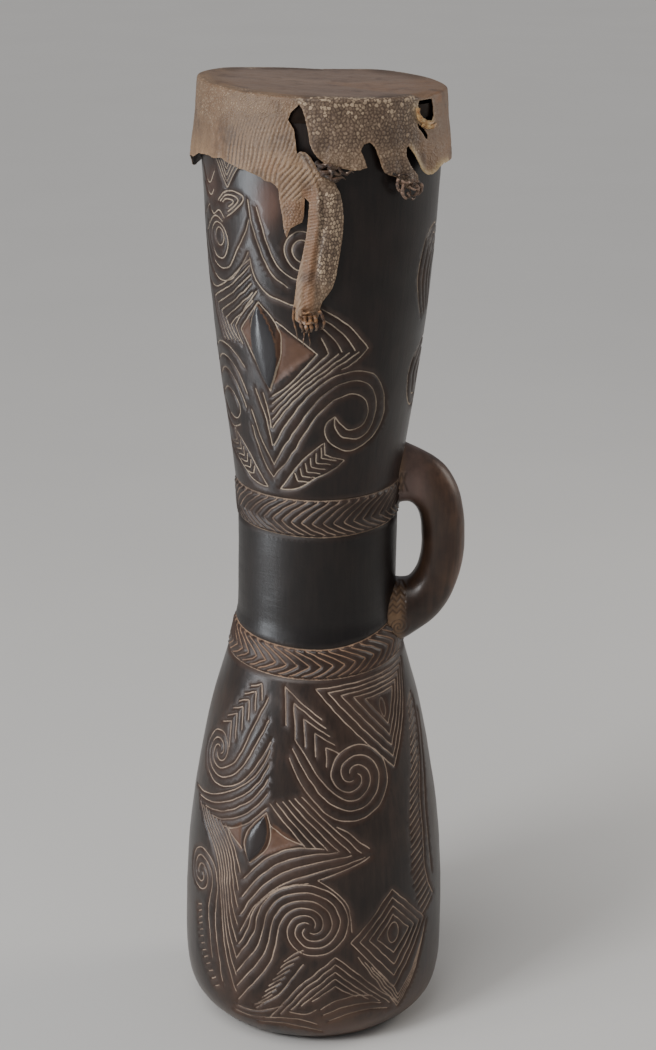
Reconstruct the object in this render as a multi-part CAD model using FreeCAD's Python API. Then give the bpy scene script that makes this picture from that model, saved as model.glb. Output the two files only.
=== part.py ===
import FreeCAD, Part
import math
import os

# Hourglass hand drum, millimetres.  +Z is up, the origin is the centre of the ring that the
# drum stands on, +X points at the side handle and the carved front faces -Y.
# The body is one log; its named regions meet face to face on the lines cut round it.

# ---- Driving dimensions -------------------------------------------------------------------

HEAD_HEIGHT = 720.0          # floor to the middle of the skin head
HEAD_TILT = math.radians(2.7)    # the rim was cut out of square: it is low on the handle side
SKIN = 1.4                   # thickness of the stretched head
GLUE = 0.4                   # thickness of the glue bed

LOWER_BAND = (295.0, 318.0)  # heights of the two carved bands
UPPER_BAND = (400.0, 430.0)
BAND_RAISE = 1.2             # how far the bands stand out of the log
WAIST_RADIUS = 59.5

# Outside of the log as (radius, height)
FOOT_RADIUS = 73.0
LOWER_BOWL_LINE = [(FOOT_RADIUS, 0), (84.5, 8), (94, 20), (98.6, 36), (100, 64), (99, 115),
                   (92.8, 180), (86, 220), (77.5, 260), (68, 293), (WAIST_RADIUS, 330)]
UPPER_BOWL_LINE = [(WAIST_RADIUS, 402), (62.5, 440), (68, 480), (73.6, 520), (78.2, 560),
                   (81.8, 600), (84.4, 640), (86.2, 680), (87.2, HEAD_HEIGHT + 10)]

# Inside of the log, the sound bore
BORE_LINE = [(60, 0), (74, 18), (85, 44), (88, 80), (86.5, 125), (80.5, 180), (65, 260),
             (49, 305), (44, 350), (45, 400), (50.5, 440), (62, 520), (70, 600), (75, 670),
             (77, HEAD_HEIGHT + 10)]

# Skirt of the skin below the rim: it stands away from the log as the log tapers
SKIRT_EDGE = 676.0           # height of its lower edge
SKIRT_TOP_RADIUS = 89.0      # outer radius at the rim
SKIRT_EDGE_RADIUS = 92.4     # outer radius at the lower edge
RIM_ROUND = 3.0              # rounded corner where the skin turns over the rim
GLUE_DEPTH = 14.0            # how far down the outside of the rim the glue reaches
GLUE_INNER_RADIUS = 78.5

# Openings in the skirt: (angle from the front towards the handle, low, high, width)
SKIRT_OPENINGS = [(-9.0, SKIRT_EDGE - 5, 716.0, 6.0),
                  (23.0, SKIRT_EDGE - 5, 692.0, 12.0),
                  (53.0, 700.0, 710.5, 13.0)]

# Handle stations along the bar: (x, z, direction of the bar in degrees below +X,
# half thickness, half width)
HANDLE_STATIONS = [(52, 432, 0, 19, 14),
                   (67, 431, 8, 18.5, 14.5),
                   (83.5, 422, 45, 16.5, 16),
                   (92.6, 402, 76, 16, 17),
                   (94.5, 380, 90, 16.1, 17),
                   (91.6, 359, 106, 16.2, 17.5),
                   (82.5, 340, 137, 17.5, 19),
                   (67, 328.5, 170, 21, 22),
                   (52, 326, 180, 23.5, 23)]
SECTION_POINTS = 12          # points round each oval section

# Loose tongues of the skin: hinge angle, hinge height, outline in the tongue's own plane
# as (distance to the right of the hinge middle, height), and outer radii at top and bottom
TONGUE_THICKNESS = 1.6
TONGUES = {
    "long_leg_skin": dict(
        angle=2.0, hinge=672.5, radii=(91.6, 83.6), length=112.0,
        outline=[(-10, 672.5), (13, 672.5), (13, 640), (10, 612), (3, 588), (0.5, 566),
                 (-6, 560.5), (-20, 561), (-21.5, 580), (-19, 604), (-13, 630), (-12, 655)]),
    "short_leg_skin": dict(
        angle=-13.0, hinge=659.0, radii=(91.4, 88.4), length=32.0,
        outline=[(-9, 659), (10.2, 659), (9.6, 640), (4, 633), (0, 627), (-3, 630), (-6, 645)]),
    "torn_foot_skin": dict(
        angle=40.0, hinge=672.5, radii=(91.8, 90.2), length=20.0,
        outline=[(-13, 672.5), (14, 672.5), (16, 662), (13, 653), (4, 652.5), (-4, 659),
                 (-12, 666)]),
}

REACH = 400.0                # larger than any radius, for cutting tools


def point(radius, height):
    return FreeCAD.Vector(radius, 0, height)


def smooth_line(points):
    """A smooth curve through (radius, height) points."""
    curve = Part.BSplineCurve()
    curve.interpolate([point(*p) for p in points])
    return curve.toShape()


def revolve(edges):
    face = Part.Face(Part.Wire(Part.__sortEdges__(edges)))
    return face.revolve(FreeCAD.Vector(0, 0, 0), FreeCAD.Vector(0, 0, 1), 360)


def turned(edge_list, low, high):
    """A solid of revolution between the axis and a chain of outer edges."""
    start = edge_list[0].Vertexes[0].Point
    end = edge_list[-1].Vertexes[-1].Point
    return revolve(edge_list + [Part.makeLine(point(0, low), start),
                                Part.makeLine(end, point(0, high)),
                                Part.makeLine(point(0, high), point(0, low))])


def log_envelope():
    """The whole outside of the log as a solid, without its bore."""
    waist = Part.makeLine(point(*LOWER_BOWL_LINE[-1]), point(*UPPER_BOWL_LINE[0]))
    return turned([smooth_line(LOWER_BOWL_LINE), waist, smooth_line(UPPER_BOWL_LINE)],
                  LOWER_BOWL_LINE[0][1], UPPER_BOWL_LINE[-1][1])


def bore():
    return turned([smooth_line(BORE_LINE)], BORE_LINE[0][1], BORE_LINE[-1][1])


def slab(low, high):
    return Part.makeCylinder(REACH, high - low, point(0, low))


def below_rim(drop):
    """Everything below the tilted rim plane, lowered by drop."""
    block = Part.makeBox(2 * REACH, 2 * REACH, 2 * REACH,
                         FreeCAD.Vector(-REACH, -REACH, -2 * REACH))
    block.rotate(FreeCAD.Vector(0, 0, 0), FreeCAD.Vector(0, 1, 0), math.degrees(HEAD_TILT))
    block.translate(FreeCAD.Vector(0, 0, HEAD_HEIGHT - drop))
    return block


def band_ring(envelope, low, high):
    """A raised band: the log's own outline pushed out by BAND_RAISE between two heights."""
    bottom = radius_at(envelope, low)
    top = radius_at(envelope, high)
    outer = Part.makeLine(point(bottom + BAND_RAISE, low), point(top + BAND_RAISE, high))
    return turned([outer], low, high)


def radius_at(solid, height):
    ray = Part.makeLine(point(0, height), point(REACH, height))
    return solid.common(ray).BoundBox.XMax


def handle(envelope):
    """The bar of the handle, lofted through oval sections and cut to the log's surface."""
    sections = []
    for x, z, turn, half_thickness, half_width in HANDLE_STATIONS:
        rim = []
        for step in range(SECTION_POINTS):
            angle = 2 * math.pi * step / SECTION_POINTS
            rim.append(FreeCAD.Vector(half_thickness * math.cos(angle),
                                      half_width * math.sin(angle), 0))
        oval = Part.BSplineCurve()
        oval.interpolate(rim, PeriodicFlag=True)
        wire = Part.Wire([oval.toShape()])
        wire.rotate(FreeCAD.Vector(0, 0, 0), FreeCAD.Vector(0, 1, 0), 90 + turn)
        wire.translate(FreeCAD.Vector(x, 0, z))
        sections.append(wire)
    return Part.makeLoft(sections, True, False).cut(envelope)


def glue_bed():
    """The thin bed between the rim and the skin, over the rim's top and down its outside."""
    def cup(radius, drop):
        return Part.makeCylinder(radius, GLUE_DEPTH + 30, point(0, HEAD_HEIGHT - GLUE_DEPTH)
                                 ).common(below_rim(drop))
    hollow = cup(WOOD_RIM_RADIUS, SKIN + GLUE)
    well = Part.makeCylinder(GLUE_INNER_RADIUS, 60, point(0, HEAD_HEIGHT - 30))
    return cup(WOOD_RIM_RADIUS + GLUE, SKIN).cut(hollow).cut(well)


def skin_volume(outer_top, outer_edge, drop):
    """The space inside the skin's surface: a slightly flared skirt closed by the head."""
    low, shoulder = SKIRT_EDGE, HEAD_HEIGHT - GLUE_DEPTH - 2
    flare = Part.makeLine(point(outer_edge, low), point(outer_top, shoulder))
    wall = Part.makeLine(point(outer_top, shoulder), point(outer_top, HEAD_HEIGHT + 20))
    return turned([flare, wall], low, HEAD_HEIGHT + 20).common(below_rim(drop))


def head_skin():
    outside = skin_volume(SKIRT_TOP_RADIUS, SKIRT_EDGE_RADIUS, 0)
    rim = [e for e in outside.Edges if e.BoundBox.ZMin > HEAD_HEIGHT - 10 and e.Length > 300]
    outside = outside.makeFillet(RIM_ROUND, rim)
    inside = skin_volume(WOOD_RIM_RADIUS + GLUE, SKIRT_EDGE_RADIUS - SKIN, SKIN)
    skin = outside.cut(inside)
    for angle, low, high, width in SKIRT_OPENINGS:
        cutter = Part.makeBox(width, 60, high - low, FreeCAD.Vector(-width / 2, -115, low))
        cutter.rotate(FreeCAD.Vector(0, 0, 0), FreeCAD.Vector(0, 0, 1), angle)
        skin = skin.cut(cutter)
    return skin


def tongue(angle, hinge, radii, length, outline):
    """One hanging tongue: a stretch of a cone that leans in with the log, cut to outline."""
    low = hinge - length
    cone = Part.makeCone(radii[1], radii[0], length, point(0, low))
    core = Part.makeCone(radii[1] - TONGUE_THICKNESS, radii[0] - TONGUE_THICKNESS, length,
                         point(0, low))
    front = [FreeCAD.Vector(x, 0, z) for x, z in outline]
    shape = Part.Face(Part.makePolygon(front + front[:1])).extrude(FreeCAD.Vector(0, -REACH, 0))
    shape.rotate(FreeCAD.Vector(0, 0, 0), FreeCAD.Vector(0, 0, 1), angle)
    return cone.cut(core).common(shape)


def save(name, shape):
    solids = shape.Solids
    shape = solids[0] if len(solids) == 1 else Part.makeCompound(solids)
    box = shape.BoundBox
    print(f"{name:16s} solids {len(solids)} valid {shape.isValid()} cm3 {shape.Volume / 1000:7.1f} "
          f"z {box.ZMin:.1f} to {box.ZMax:.1f}")
    shape.exportStep(f"parts/{name}.step")


os.makedirs("parts", exist_ok=True)

ENVELOPE = log_envelope()
WOOD_RIM_RADIUS = radius_at(ENVELOPE, HEAD_HEIGHT)
BORE = bore()
BANDED = ENVELOPE.fuse(band_ring(ENVELOPE, *LOWER_BAND)).fuse(band_ring(ENVELOPE, *UPPER_BAND))
LOG = BANDED.cut(BORE).common(below_rim(SKIN + GLUE))

REGIONS = {
    "lower_bowl": (0, LOWER_BAND[0]),
    "lower_band": LOWER_BAND,
    "waist": (LOWER_BAND[1], UPPER_BAND[0]),
    "upper_band": UPPER_BAND,
    "upper_bowl": (UPPER_BAND[1], HEAD_HEIGHT + 30),
}
for region, heights in REGIONS.items():
    save(region, LOG.common(slab(*heights)))

save("handle", handle(BANDED))
save("rim_glue", glue_bed())
save("head_skin", head_skin())
for tongue_name, sizes in TONGUES.items():
    save(tongue_name, tongue(**sizes))
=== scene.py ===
import math

import bpy
import numpy as np
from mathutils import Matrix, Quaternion, Vector, kdtree, noise
from mathutils.geometry import delaunay_2d_cdt


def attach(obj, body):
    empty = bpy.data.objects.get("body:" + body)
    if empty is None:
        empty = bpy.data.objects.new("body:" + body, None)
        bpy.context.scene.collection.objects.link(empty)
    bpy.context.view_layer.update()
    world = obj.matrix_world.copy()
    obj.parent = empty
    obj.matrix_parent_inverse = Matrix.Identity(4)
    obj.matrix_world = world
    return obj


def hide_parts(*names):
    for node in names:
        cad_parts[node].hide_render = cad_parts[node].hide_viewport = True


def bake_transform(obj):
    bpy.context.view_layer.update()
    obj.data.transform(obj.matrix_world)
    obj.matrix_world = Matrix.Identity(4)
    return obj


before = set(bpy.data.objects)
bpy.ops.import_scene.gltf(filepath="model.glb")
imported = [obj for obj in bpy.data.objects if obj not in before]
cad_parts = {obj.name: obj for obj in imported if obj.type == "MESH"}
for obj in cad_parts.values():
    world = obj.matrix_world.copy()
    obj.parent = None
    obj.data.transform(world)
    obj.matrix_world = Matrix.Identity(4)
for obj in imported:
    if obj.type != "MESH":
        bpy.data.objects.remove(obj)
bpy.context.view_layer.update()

MM = 0.001

# Angles run round the drum in degrees: 0 faces the front (-Y), 90 the handle (+X).
# Lengths in the tables below are millimetres, as (radius, height) or (angle, height).

# ------------------------------------------------------------------ the log's two outlines

LOWER_LINE = [(73, 0), (84.5, 8), (94, 20), (98.6, 36), (100, 64), (99, 115), (92.8, 180),
              (86, 220), (77.5, 260), (68, 293), (59.5, 330)]
UPPER_LINE = [(59.5, 402), (62.5, 440), (68, 480), (73.6, 520), (78.2, 560), (81.8, 600),
              (84.4, 640), (86.2, 680), (87.2, 730)]
BORE_LINE = [(60, 0), (74, 18), (85, 44), (88, 80), (86.5, 125), (80.5, 180), (65, 260),
             (49, 305), (44, 350), (45, 400), (50.5, 440), (62, 520), (70, 600), (75, 670),
             (77, 730)]
HEAD_HEIGHT = 720.0
HEAD_TILT = math.tan(math.radians(2.7))
LEAN_FROM, LEAN_OVER = 690, 28            # the heights over which the rim begins to lean
WOOD_TOP = HEAD_HEIGHT - 1.9
BAND_RAISE = 1.2
HALF_TURNS = (0, 180)      # each motif is carved at the front and at the back
FAR = 9.0                # stands for any distance from a cut too great to matter
UNBOUND = 99.0           # more than any distance that is compared with it


def cubic(points, step=0.5):
    """A smooth curve through points, as closely spaced samples."""
    p = np.array(points, float)
    t = np.concatenate([[0], np.cumsum(np.linalg.norm(np.diff(p, axis=0), axis=1))])
    n, h = len(p), np.diff(t)
    a, rhs = np.zeros((n, n)), np.zeros((n, p.shape[1]))
    a[0, 0] = a[-1, -1] = 1
    for i in range(1, n - 1):
        a[i, i - 1:i + 2] = h[i - 1], 2 * (h[i - 1] + h[i]), h[i]
        rhs[i] = 6 * ((p[i + 1] - p[i]) / h[i] - (p[i] - p[i - 1]) / h[i - 1])
    bend = np.linalg.solve(a, rhs)
    s = np.linspace(0, t[-1], max(2, int(t[-1] / step) + 1))
    k = np.clip(np.searchsorted(t, s, side="right") - 1, 0, n - 2)
    left, right, width = (t[k + 1] - s)[:, None], (s - t[k])[:, None], h[k][:, None]
    return (bend[k] * left ** 3 / (6 * width) + bend[k + 1] * right ** 3 / (6 * width)
            + (p[k] / width - bend[k] * width / 6) * left
            + (p[k + 1] / width - bend[k + 1] * width / 6) * right)


def bell(x):
    """Smooth step from 0 to 1."""
    x = np.clip(x, 0, 1)
    return x * x * (3 - 2 * x)


def circle(radius, a, z):
    """Points round the drum's axis, from radius, angle in radians and height."""
    return np.column_stack([radius * np.sin(a), -radius * np.cos(a), z])


def tree_of(points):
    tree = kdtree.KDTree(len(points))
    for p in points:
        tree.insert(p, 0)
    tree.balance()
    return tree


def lerp(first, last, count):
    """Arrays that pass evenly from one to another."""
    first, last = np.array(first, float), np.array(last, float)
    return [first + (last - first) * i / (count - 1) for i in range(count)]


class Outline:
    """A line of the log from floor to rim, looked up by height or by length along it."""

    def __init__(self, samples):
        self.r, self.z = samples[:, 0], samples[:, 1]
        run = np.hypot(np.diff(self.r), np.diff(self.z))
        self.s = np.concatenate([[0], np.cumsum(run)])
        dr, dz = np.gradient(self.r, self.s), np.gradient(self.z, self.s)
        size = np.hypot(dr, dz)
        self.nr, self.nz = dz / size, -dr / size

    def along(self, z):
        return np.interp(z, self.z, self.s)

    def radius(self, z):
        return np.interp(z, self.z, self.r)

    def place(self, angle, s, lift=0.0):
        """Points on the surface, lifted along its normal, in millimetres."""
        r = np.interp(s, self.s, self.r) + lift * np.interp(s, self.s, self.nr)
        z = np.interp(s, self.s, self.z) + lift * np.interp(s, self.s, self.nz)
        return circle(r, np.radians(angle), z)


OUTSIDE = Outline(np.vstack([cubic(LOWER_LINE), cubic(UPPER_LINE)]))
INSIDE = Outline(cubic(BORE_LINE))


def tilt(points):
    """Lean the top of the drum the way its rim was cut: low on the handle side."""
    share = bell((points[:, 2] - LEAN_FROM) / LEAN_OVER)
    out = points.copy()
    out[:, 2] -= HEAD_TILT * share * points[:, 0]
    return out


# ------------------------------------------------------------------ drawing the carved lines

def flow(*points):
    """A line that bends smoothly through its points."""
    return cubic(points, 0.6)


def bent(*points):
    """A line with corners."""
    out = []
    for a, b in zip(points[:-1], points[1:]):
        a, b = np.array(a, float), np.array(b, float)
        steps = max(2, int(np.linalg.norm(b - a) / 0.6))
        out.append(a + (b - a) * np.linspace(0, 1, steps)[:, None])
    return np.vstack(out)


def family(first, last, count, draw=flow):
    """Lines that pass evenly from one to another with as many points."""
    return [draw(*points) for points in lerp(first, last, count)]


def oval(centre, half_angle, half_height):
    t = np.linspace(0, 2 * math.pi, 60)
    return np.column_stack([centre[0] + half_angle * np.cos(t),
                            centre[1] + half_height * np.sin(t)])


SCROLL_CORE = 2.5        # radius at which the lines of a scroll end


def scroll(centre, start, sense, outer, spacing, leads, squash):
    """Lines that run in side by side and wind to one core. centre and the leads' points are
    (angle, height). start is the direction, in degrees, in which the lines meet the scroll,
    sense is 1 when they wind anticlockwise and -1 clockwise, outer is the first line's
    radius there in millimetres, and each next line starts one spacing closer in."""
    per_degree = math.radians(1) * OUTSIDE.radius(centre[1])
    lines = []
    for i, lead in enumerate(leads):
        radius, turn, curl = outer - i * spacing, 0.0, []
        while radius > SCROLL_CORE:
            angle = math.radians(start + sense * turn)
            curl.append((centre[0] + radius * math.cos(angle) / per_degree,
                         centre[1] + squash * radius * math.sin(angle)))
            turn += 30
            radius = outer - spacing * (i + len(leads) * turn / 360)
        lines.append(cubic(list(lead) + curl, 0.6))
    return lines


def mirrored(lines, about):
    return [line * [-1, 1] + [2 * about, 0] for line in lines]


def nested(corners, core, count):
    """Closed outlines with corners, each closer to the core outline."""
    corners, core = list(corners), list(core)
    return family(corners + corners[:1], core + core[:1], count, bent)


def leaf():
    """The small leaf below the big scroll, filled with elbows."""
    lines = [flow((-26, 437), (-18, 449), (-10, 461), (0, 471.5), (4, 475)),
             flow((-26, 437), (-15, 438.5), (0, 448), (10, 454), (17, 460.5)),
             bent((4, 475), (4, 466), (17, 460.5))]
    for i in range(6):
        t = i / 5
        lines.append(bent((-15 + 17 * t, 450 + 21 * t), (-13.5 + 15.5 * t, 444.5 + 18.5 * t),
                          (-5 + 17 * t, 444 + 17 * t)))
    return lines


def left_wing():
    """Left half of the upper motif: rings, sweeping lines, chevrons and the cut scroll."""
    lines = [oval((-60, 619), 4, 6.5), oval((-61, 616), 8.4, 13)]
    lines += [flow((-72, 628), (-74.5, 614), (-69, 602), (-62, 596.5), (-55.5, 597), (-47, 609),
                   (-40.5, 623), (-36.5, 636)),
              flow((-82, 610), (-76, 598), (-69, 590.5), (-61, 587), (-54, 588.5), (-45.5, 597),
                   (-37.5, 613)),
              flow((-84, 585), (-75, 580), (-62, 583), (-49, 594), (-37, 608))]
    lines += family([(-72, 573), (-60, 580), (-48, 590), (-37, 603)],
                    [(-55, 556), (-50, 561.5), (-43, 569), (-36, 578)], 5)
    lines += family([(-72, 573), (-69, 558), (-62, 543)], [(-55, 556), (-52, 550), (-48, 545)], 5)
    lines += [flow((-84, 532), (-76, 537.5), (-67, 539.5), (-57, 537), (-46, 526)),
              flow((-84, 520), (-76, 527), (-67, 530), (-57, 526), (-49, 514), (-46, 506)),
              flow((-84, 507), (-76, 516), (-68, 520), (-60, 517), (-53, 508), (-48, 495)),
              flow((-80, 497), (-74, 503), (-66, 505.5), (-58, 500), (-55, 492), (-60, 484),
                   (-69, 485), (-75, 491)),
              flow((-80, 484), (-73, 478), (-66, 476), (-57, 480))]
    # Fans and curled elbows between the rings and the skin
    lines += family([(-60, 675), (-50.5, 656), (-41, 675)],
                    [(-54, 677), (-50.5, 669), (-47, 677)], 4, bent)
    lines += family([(-59.5, 645), (-54.5, 651), (-48, 654), (-41, 652.5), (-52, 634.5)],
                    [(-55, 644.5), (-53, 647), (-50, 648), (-46.5, 647.4), (-50.6, 642)], 3)
    lines += [flow((-82, 630), (-76, 634), (-70, 639), (-65, 634), (-59.5, 638), (-54.5, 633)),
              flow((-80, 618), (-75, 622), (-69, 629), (-61.5, 633), (-56, 630)),
              flow((-74, 654), (-68, 647), (-63, 652)), flow((-76, 666), (-69, 655), (-62, 665))]
    return lines


def side_hooks():
    """Hooked sweeps and a scroll on the side, which run into the left wing."""
    lines = family([(-112, 562), (-118, 578), (-120, 594), (-117.5, 608), (-112.5, 620.5),
                    (-104, 625.5), (-94, 623), (-82, 610)],
                   [(-100, 566), (-103, 578), (-104, 590), (-102.6, 598), (-100, 603), (-97, 604),
                    (-93, 600), (-84, 585)], 4)
    lines += [flow((-84, 532), (-90, 538), (-97, 541), (-104, 538.5), (-110, 534), (-115, 528),
                   (-117.6, 519), (-116.8, 508), (-113, 498), (-106, 492), (-99, 492)),
              flow((-84, 520), (-90, 530), (-97, 534), (-104, 531), (-108.6, 525), (-110.7, 517),
                   (-110, 508), (-107, 501), (-101, 499)),
              flow((-84, 507), (-89, 518), (-95, 524.5), (-101, 521), (-103.4, 514), (-101, 508))]
    return lines


def upper_motif():
    """Front of the upper bowl, drawn about a spine at -31 degrees."""
    lines = [flow((-31, 445), (-20, 460), (-10, 478), (0, 497), (10, 508), (20, 511.5), (27, 507.5),
                  (30.5, 498), (28, 488), (22, 484), (15, 487), (10, 495)),
             flow((-30, 455), (-20, 473), (-10, 491), (0, 508), (10, 518), (20, 521.5), (29, 518),
                  (34.5, 508), (36, 497), (34, 486), (29.5, 479), (22, 477), (14, 480), (10, 487),
                  (10, 495)),
             flow((-29, 470), (-20, 487), (-10, 504), (0, 518), (10, 526), (20, 529), (30, 526.5),
                  (38, 516), (42, 502), (42, 490), (38, 480), (30, 472), (20, 468), (12, 471),
                  (6, 477), (4, 485), (6, 491.5), (10, 495))]
    lines += family([(-1, 542), (-10, 528), (-19, 516), (-28, 508)],
                    [(22, 543), (6, 529), (-12, 509), (-29, 484)], 5)
    lines += family([(5, 543), (3, 550), (1, 555)], [(27, 545), (17, 561), (1, 576)], 4)
    lines += [flow((27, 545), (21, 537), (12, 530.5)), flow((-23, 565), (-11, 553), (-1, 542))]
    lines += [flow((-33, 577), (-37.6, 564), (-39, 549), (-35, 530), (-28.5, 512)),
              flow((-33, 577), (-24.5, 566), (-20.8, 552), (-22.6, 534), (-28.5, 512)),
              bent((-33, 577), (-46.5, 555), (-28.5, 512)), bent((-34, 585), (-51, 556), (-46, 543))]
    lines += [flow((-31, 445), (-37, 455), (-41, 467), (-45, 483)),
              flow((-30, 455), (-35, 466), (-40, 480), (-44, 495)),
              flow((-30, 470), (-32, 484), (-35, 498), (-39, 512)),
              flow((-30, 484), (-31, 496), (-34, 510))]
    lines += [flow((-37, 650), (-34, 628), (-29, 610), (-24, 598), (-16, 590)),
              flow((-32, 645), (-27, 622), (-21, 605), (-13, 597), (-4, 594)),
              flow((-37, 609), (-34, 594), (-29, 586), (-20, 580), (-10, 577)),
              oval((-9, 617), 4.5, 8), oval((-9, 617), 8.5, 14)]
    lines += left_wing() + side_hooks() + leaf() + mirrored(leaf(), -31)
    return lines


def comb(centre_line, teeth, width, tilt_mm):
    """Short strokes across a line, like the teeth of a comb."""
    path = cubic(centre_line, 0.5)
    lines = []
    for i in range(teeth):
        angle, z = path[int((len(path) - 1) * i / (teeth - 1))]
        lines.append(bent((angle - width / 2, z - tilt_mm), (angle + width / 2, z + tilt_mm)))
    return lines


def lower_scrolls():
    """The four scrolls of the lower bowl with the lines that run into them."""
    lines = scroll((20, 222.5), -90, 1, 34.5, 7.8, lerp(
        [(-13, 236), (-8, 221), (0, 205), (9, 192.5)],
        [(-10.5, 250), (-3, 235), (3, 221), (9, 211.5)], 3), 0.98)
    lines += scroll((-1.5, 106), 180, -1, 42, 6.4, lerp(
        [(-35.5, 72), (-31, 84), (-27, 96)], [(-35, 36), (-27, 54), (-18.5, 76)], 4), 0.97)
    lines += scroll((-59, 226), -90, -1, 24.5, 6.2, lerp(
        [(-24, 246), (-30, 229), (-38, 212.5), (-48, 203.5)],
        [(-29, 277), (-37, 250), (-43, 229), (-50, 218)], 3), 0.98)
    lines += scroll((-62, 126), 0, 1, 23.5, 6.4, lerp(
        [(-44, 46), (-47, 72), (-49, 98)], [(-51, 62), (-53, 84), (-54, 104)], 2), 0.98)
    return lines


def lower_sweeps():
    """Families of lines round the eye: the arrow, the valley and the bowls."""
    lines = family([(-21.5, 200), (-13, 186), (-4, 170.5)], [(-6, 208), (7, 188), (22.5, 163)], 6)
    lines += [bent((11, 185), (16, 180.5), (26.5, 165)), flow((26.5, 159), (16, 152.5), (2, 145)),
              flow((2, 145), (9, 136), (14.5, 126), (16.5, 114), (17.3, 101))]
    lines += family([(4.5, 168.5), (-6, 169.5), (-16, 164.5), (-24, 154.5), (-33, 138)],
                    [(24, 159.5), (8, 153.5), (-10, 143.5), (-24, 124), (-34, 94)], 4)
    lines += family([(-70, 179), (-60, 165.5), (-51, 150), (-46.5, 128), (-44.5, 100), (-41, 66),
                     (-36, 42)],
                    [(-46, 175), (-43, 169), (-40.5, 163), (-38.5, 157), (-37, 151), (-35.8, 146),
                     (-35, 142)], 8)
    lines += family([(-80, 186), (-66, 189), (-50, 197.5), (-38, 209), (-29, 223), (-24, 240)],
                    [(-48, 173), (-43, 174), (-38, 177), (-33, 182), (-28, 189), (-23, 197)], 5)
    # The outermost line of the big scroll ends against the diamond
    lines += [flow((-34.5, 84), (-31, 94), (-27.5, 112), (-20, 130), (-11, 139.5), (-2, 142))]
    return lines


def lower_motif():
    """Front of the lower bowl, drawn about a spine at -25 degrees."""
    lines = nested([(0, 287), (72, 295), (44.5, 222)], [(31, 277), (54, 279.5), (44.5, 255)], 5)
    lines += [oval((42.5, 268), 2.0, 7)]
    lines += lower_scrolls() + lower_sweeps()
    # Eye and its corners
    lines += [flow((-23, 193), (-30, 182), (-33.5, 168), (-30, 152)),
              flow((-23, 193), (-20.5, 180), (-23, 164), (-30, 152)),
              flow((-20.5, 184), (-14, 177), (-5, 172)), bent((-36, 179), (-44, 172.5), (-34.5, 161))]
    # Elbows that fill the leaves under the band, left and right of the spine
    for i in range(6):
        t = i / 5
        corner = np.array((-53 + 18 * t, 252 + 34 * t))
        lines.append(bent(corner + (-8, -4), corner, corner + (2.2, -20 + 8 * t)))
    lines += family([(-16, 260), (-19, 287), (4, 265)], [(6, 231), (6, 245), (13, 240)], 5, bent)
    lines += comb([(-62, 99), (-60, 76), (-55, 56), (-48, 40)], 13, 3.4, 1.6)
    # Feathers that point down to the left
    for i in range(9):
        t = i / 8
        lines.append(flow((-4 - 16 * t, 88 - 46 * t), (-8 - 15 * t, 84 - 47 * t),
                          (-12.5 - 14 * t, 77 - 45 * t)))
    lines += [flow((-4, 76), (-8, 66), (-12, 55), (-18, 44), (-27, 35))]
    # Nested peaks, diamonds and the arcs at the foot
    lines += family([(-19, 27), (-6, 57), (10, 82), (26.5, 55), (44, 28)],
                    [(0, 45), (5, 51), (10, 57), (14, 52), (20, 46)], 5, bent)
    lines += [flow((4, 37), (11, 44.5), (20, 47), (28, 44)), flow((5, 32), (14, 38), (24, 39), (33, 35)),
              flow((8, 26), (18, 31.5), (28, 32), (37, 28)),
              flow((-22, 25), (-12, 28), (-4, 27), (3, 22)), flow((-26, 19), (-14, 22), (-5, 20), (5, 14)),
              flow((-10, 34), (-3, 33), (2, 37)),
              flow((-36, 30), (-29, 29), (-21, 33), (-13, 39)), flow((-38, 24), (-30, 23), (-22, 26))]
    lines += nested([(37.5, 129), (59, 93), (39, 46), (17, 92)],
                    [(38, 108), (47.5, 92), (38.5, 76), (29.5, 91)], 4)
    lines += [oval((38, 93), 3, 8)]
    lines += family([(61, 88), (53, 55), (43, 26), (32, 50), (20, 80)],
                    [(56, 72), (50, 54), (42.5, 37), (36, 52), (30, 64)], 4, bent)
    # Comb down the right edge, its side line, and the arc that ends it
    lines += comb([(68.5, 264), (62.5, 222), (56.6, 188), (55, 150), (57.6, 118), (62, 100)],
                  29, 8.6, 3.6)
    lines += [flow((74, 262), (68, 220), (62.4, 188), (61, 152), (63.4, 120), (69, 106)),
              flow((77.4, 250), (72.4, 217), (67, 186), (66, 152), (68, 126))]
    return lines


def front_and_back(lines):
    """The lines and their copies half a turn away."""
    return [line + [angle, 0] for angle in HALF_TURNS for line in lines]


def region_edge(height, right, left):
    """The height of an edge over the angle: it climbs by right on the way round to the handle
    and by left on the far side."""
    def edge(angle):
        wave = np.sin(np.radians(angle))
        return height + np.where(wave > 0, right, left) * wave ** 2
    return edge


# Edges of the five regions of the log, from floor to rim
EDGES = [region_edge(*edge) for edge in ((0, 0, 0), (293.5, 7, 3), (315, 12, 5), (401, 4, 2),
                                         (429.5, 3, 1), (WOOD_TOP, 0, 0))]


def band_chevrons(low, high, count, point, reach_up, reach_down):
    """Chevrons round a band. point is the height share of the corner, and the reaches are
    how far the upper and lower limbs run, in chevrons."""
    lines = []
    for i in range(count):
        a, step = 360 * i / count - 180, 360 / count
        up, down = a + step * reach_up, a + step * reach_down
        base, top = low(np.array(a)), high(np.array(up)) - 1.6
        corner = base + (high(np.array(a)) - base) * point
        foot = low(np.array(down)) + 1.6
        upper = flow((up, top), (a + 0.46 * (up - a), corner + 0.55 * (top - corner)), (a, corner))
        lower = flow((a, corner), (a + 0.46 * (down - a), corner - 0.56 * (corner - foot)),
                     (down, foot))
        lines.append(np.vstack([upper, lower[1:]]))
    return lines


HAND_ACROSS, HAND_UP = 0.42, 0.65       # how far the hand strays, in degrees and millimetres


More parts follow.
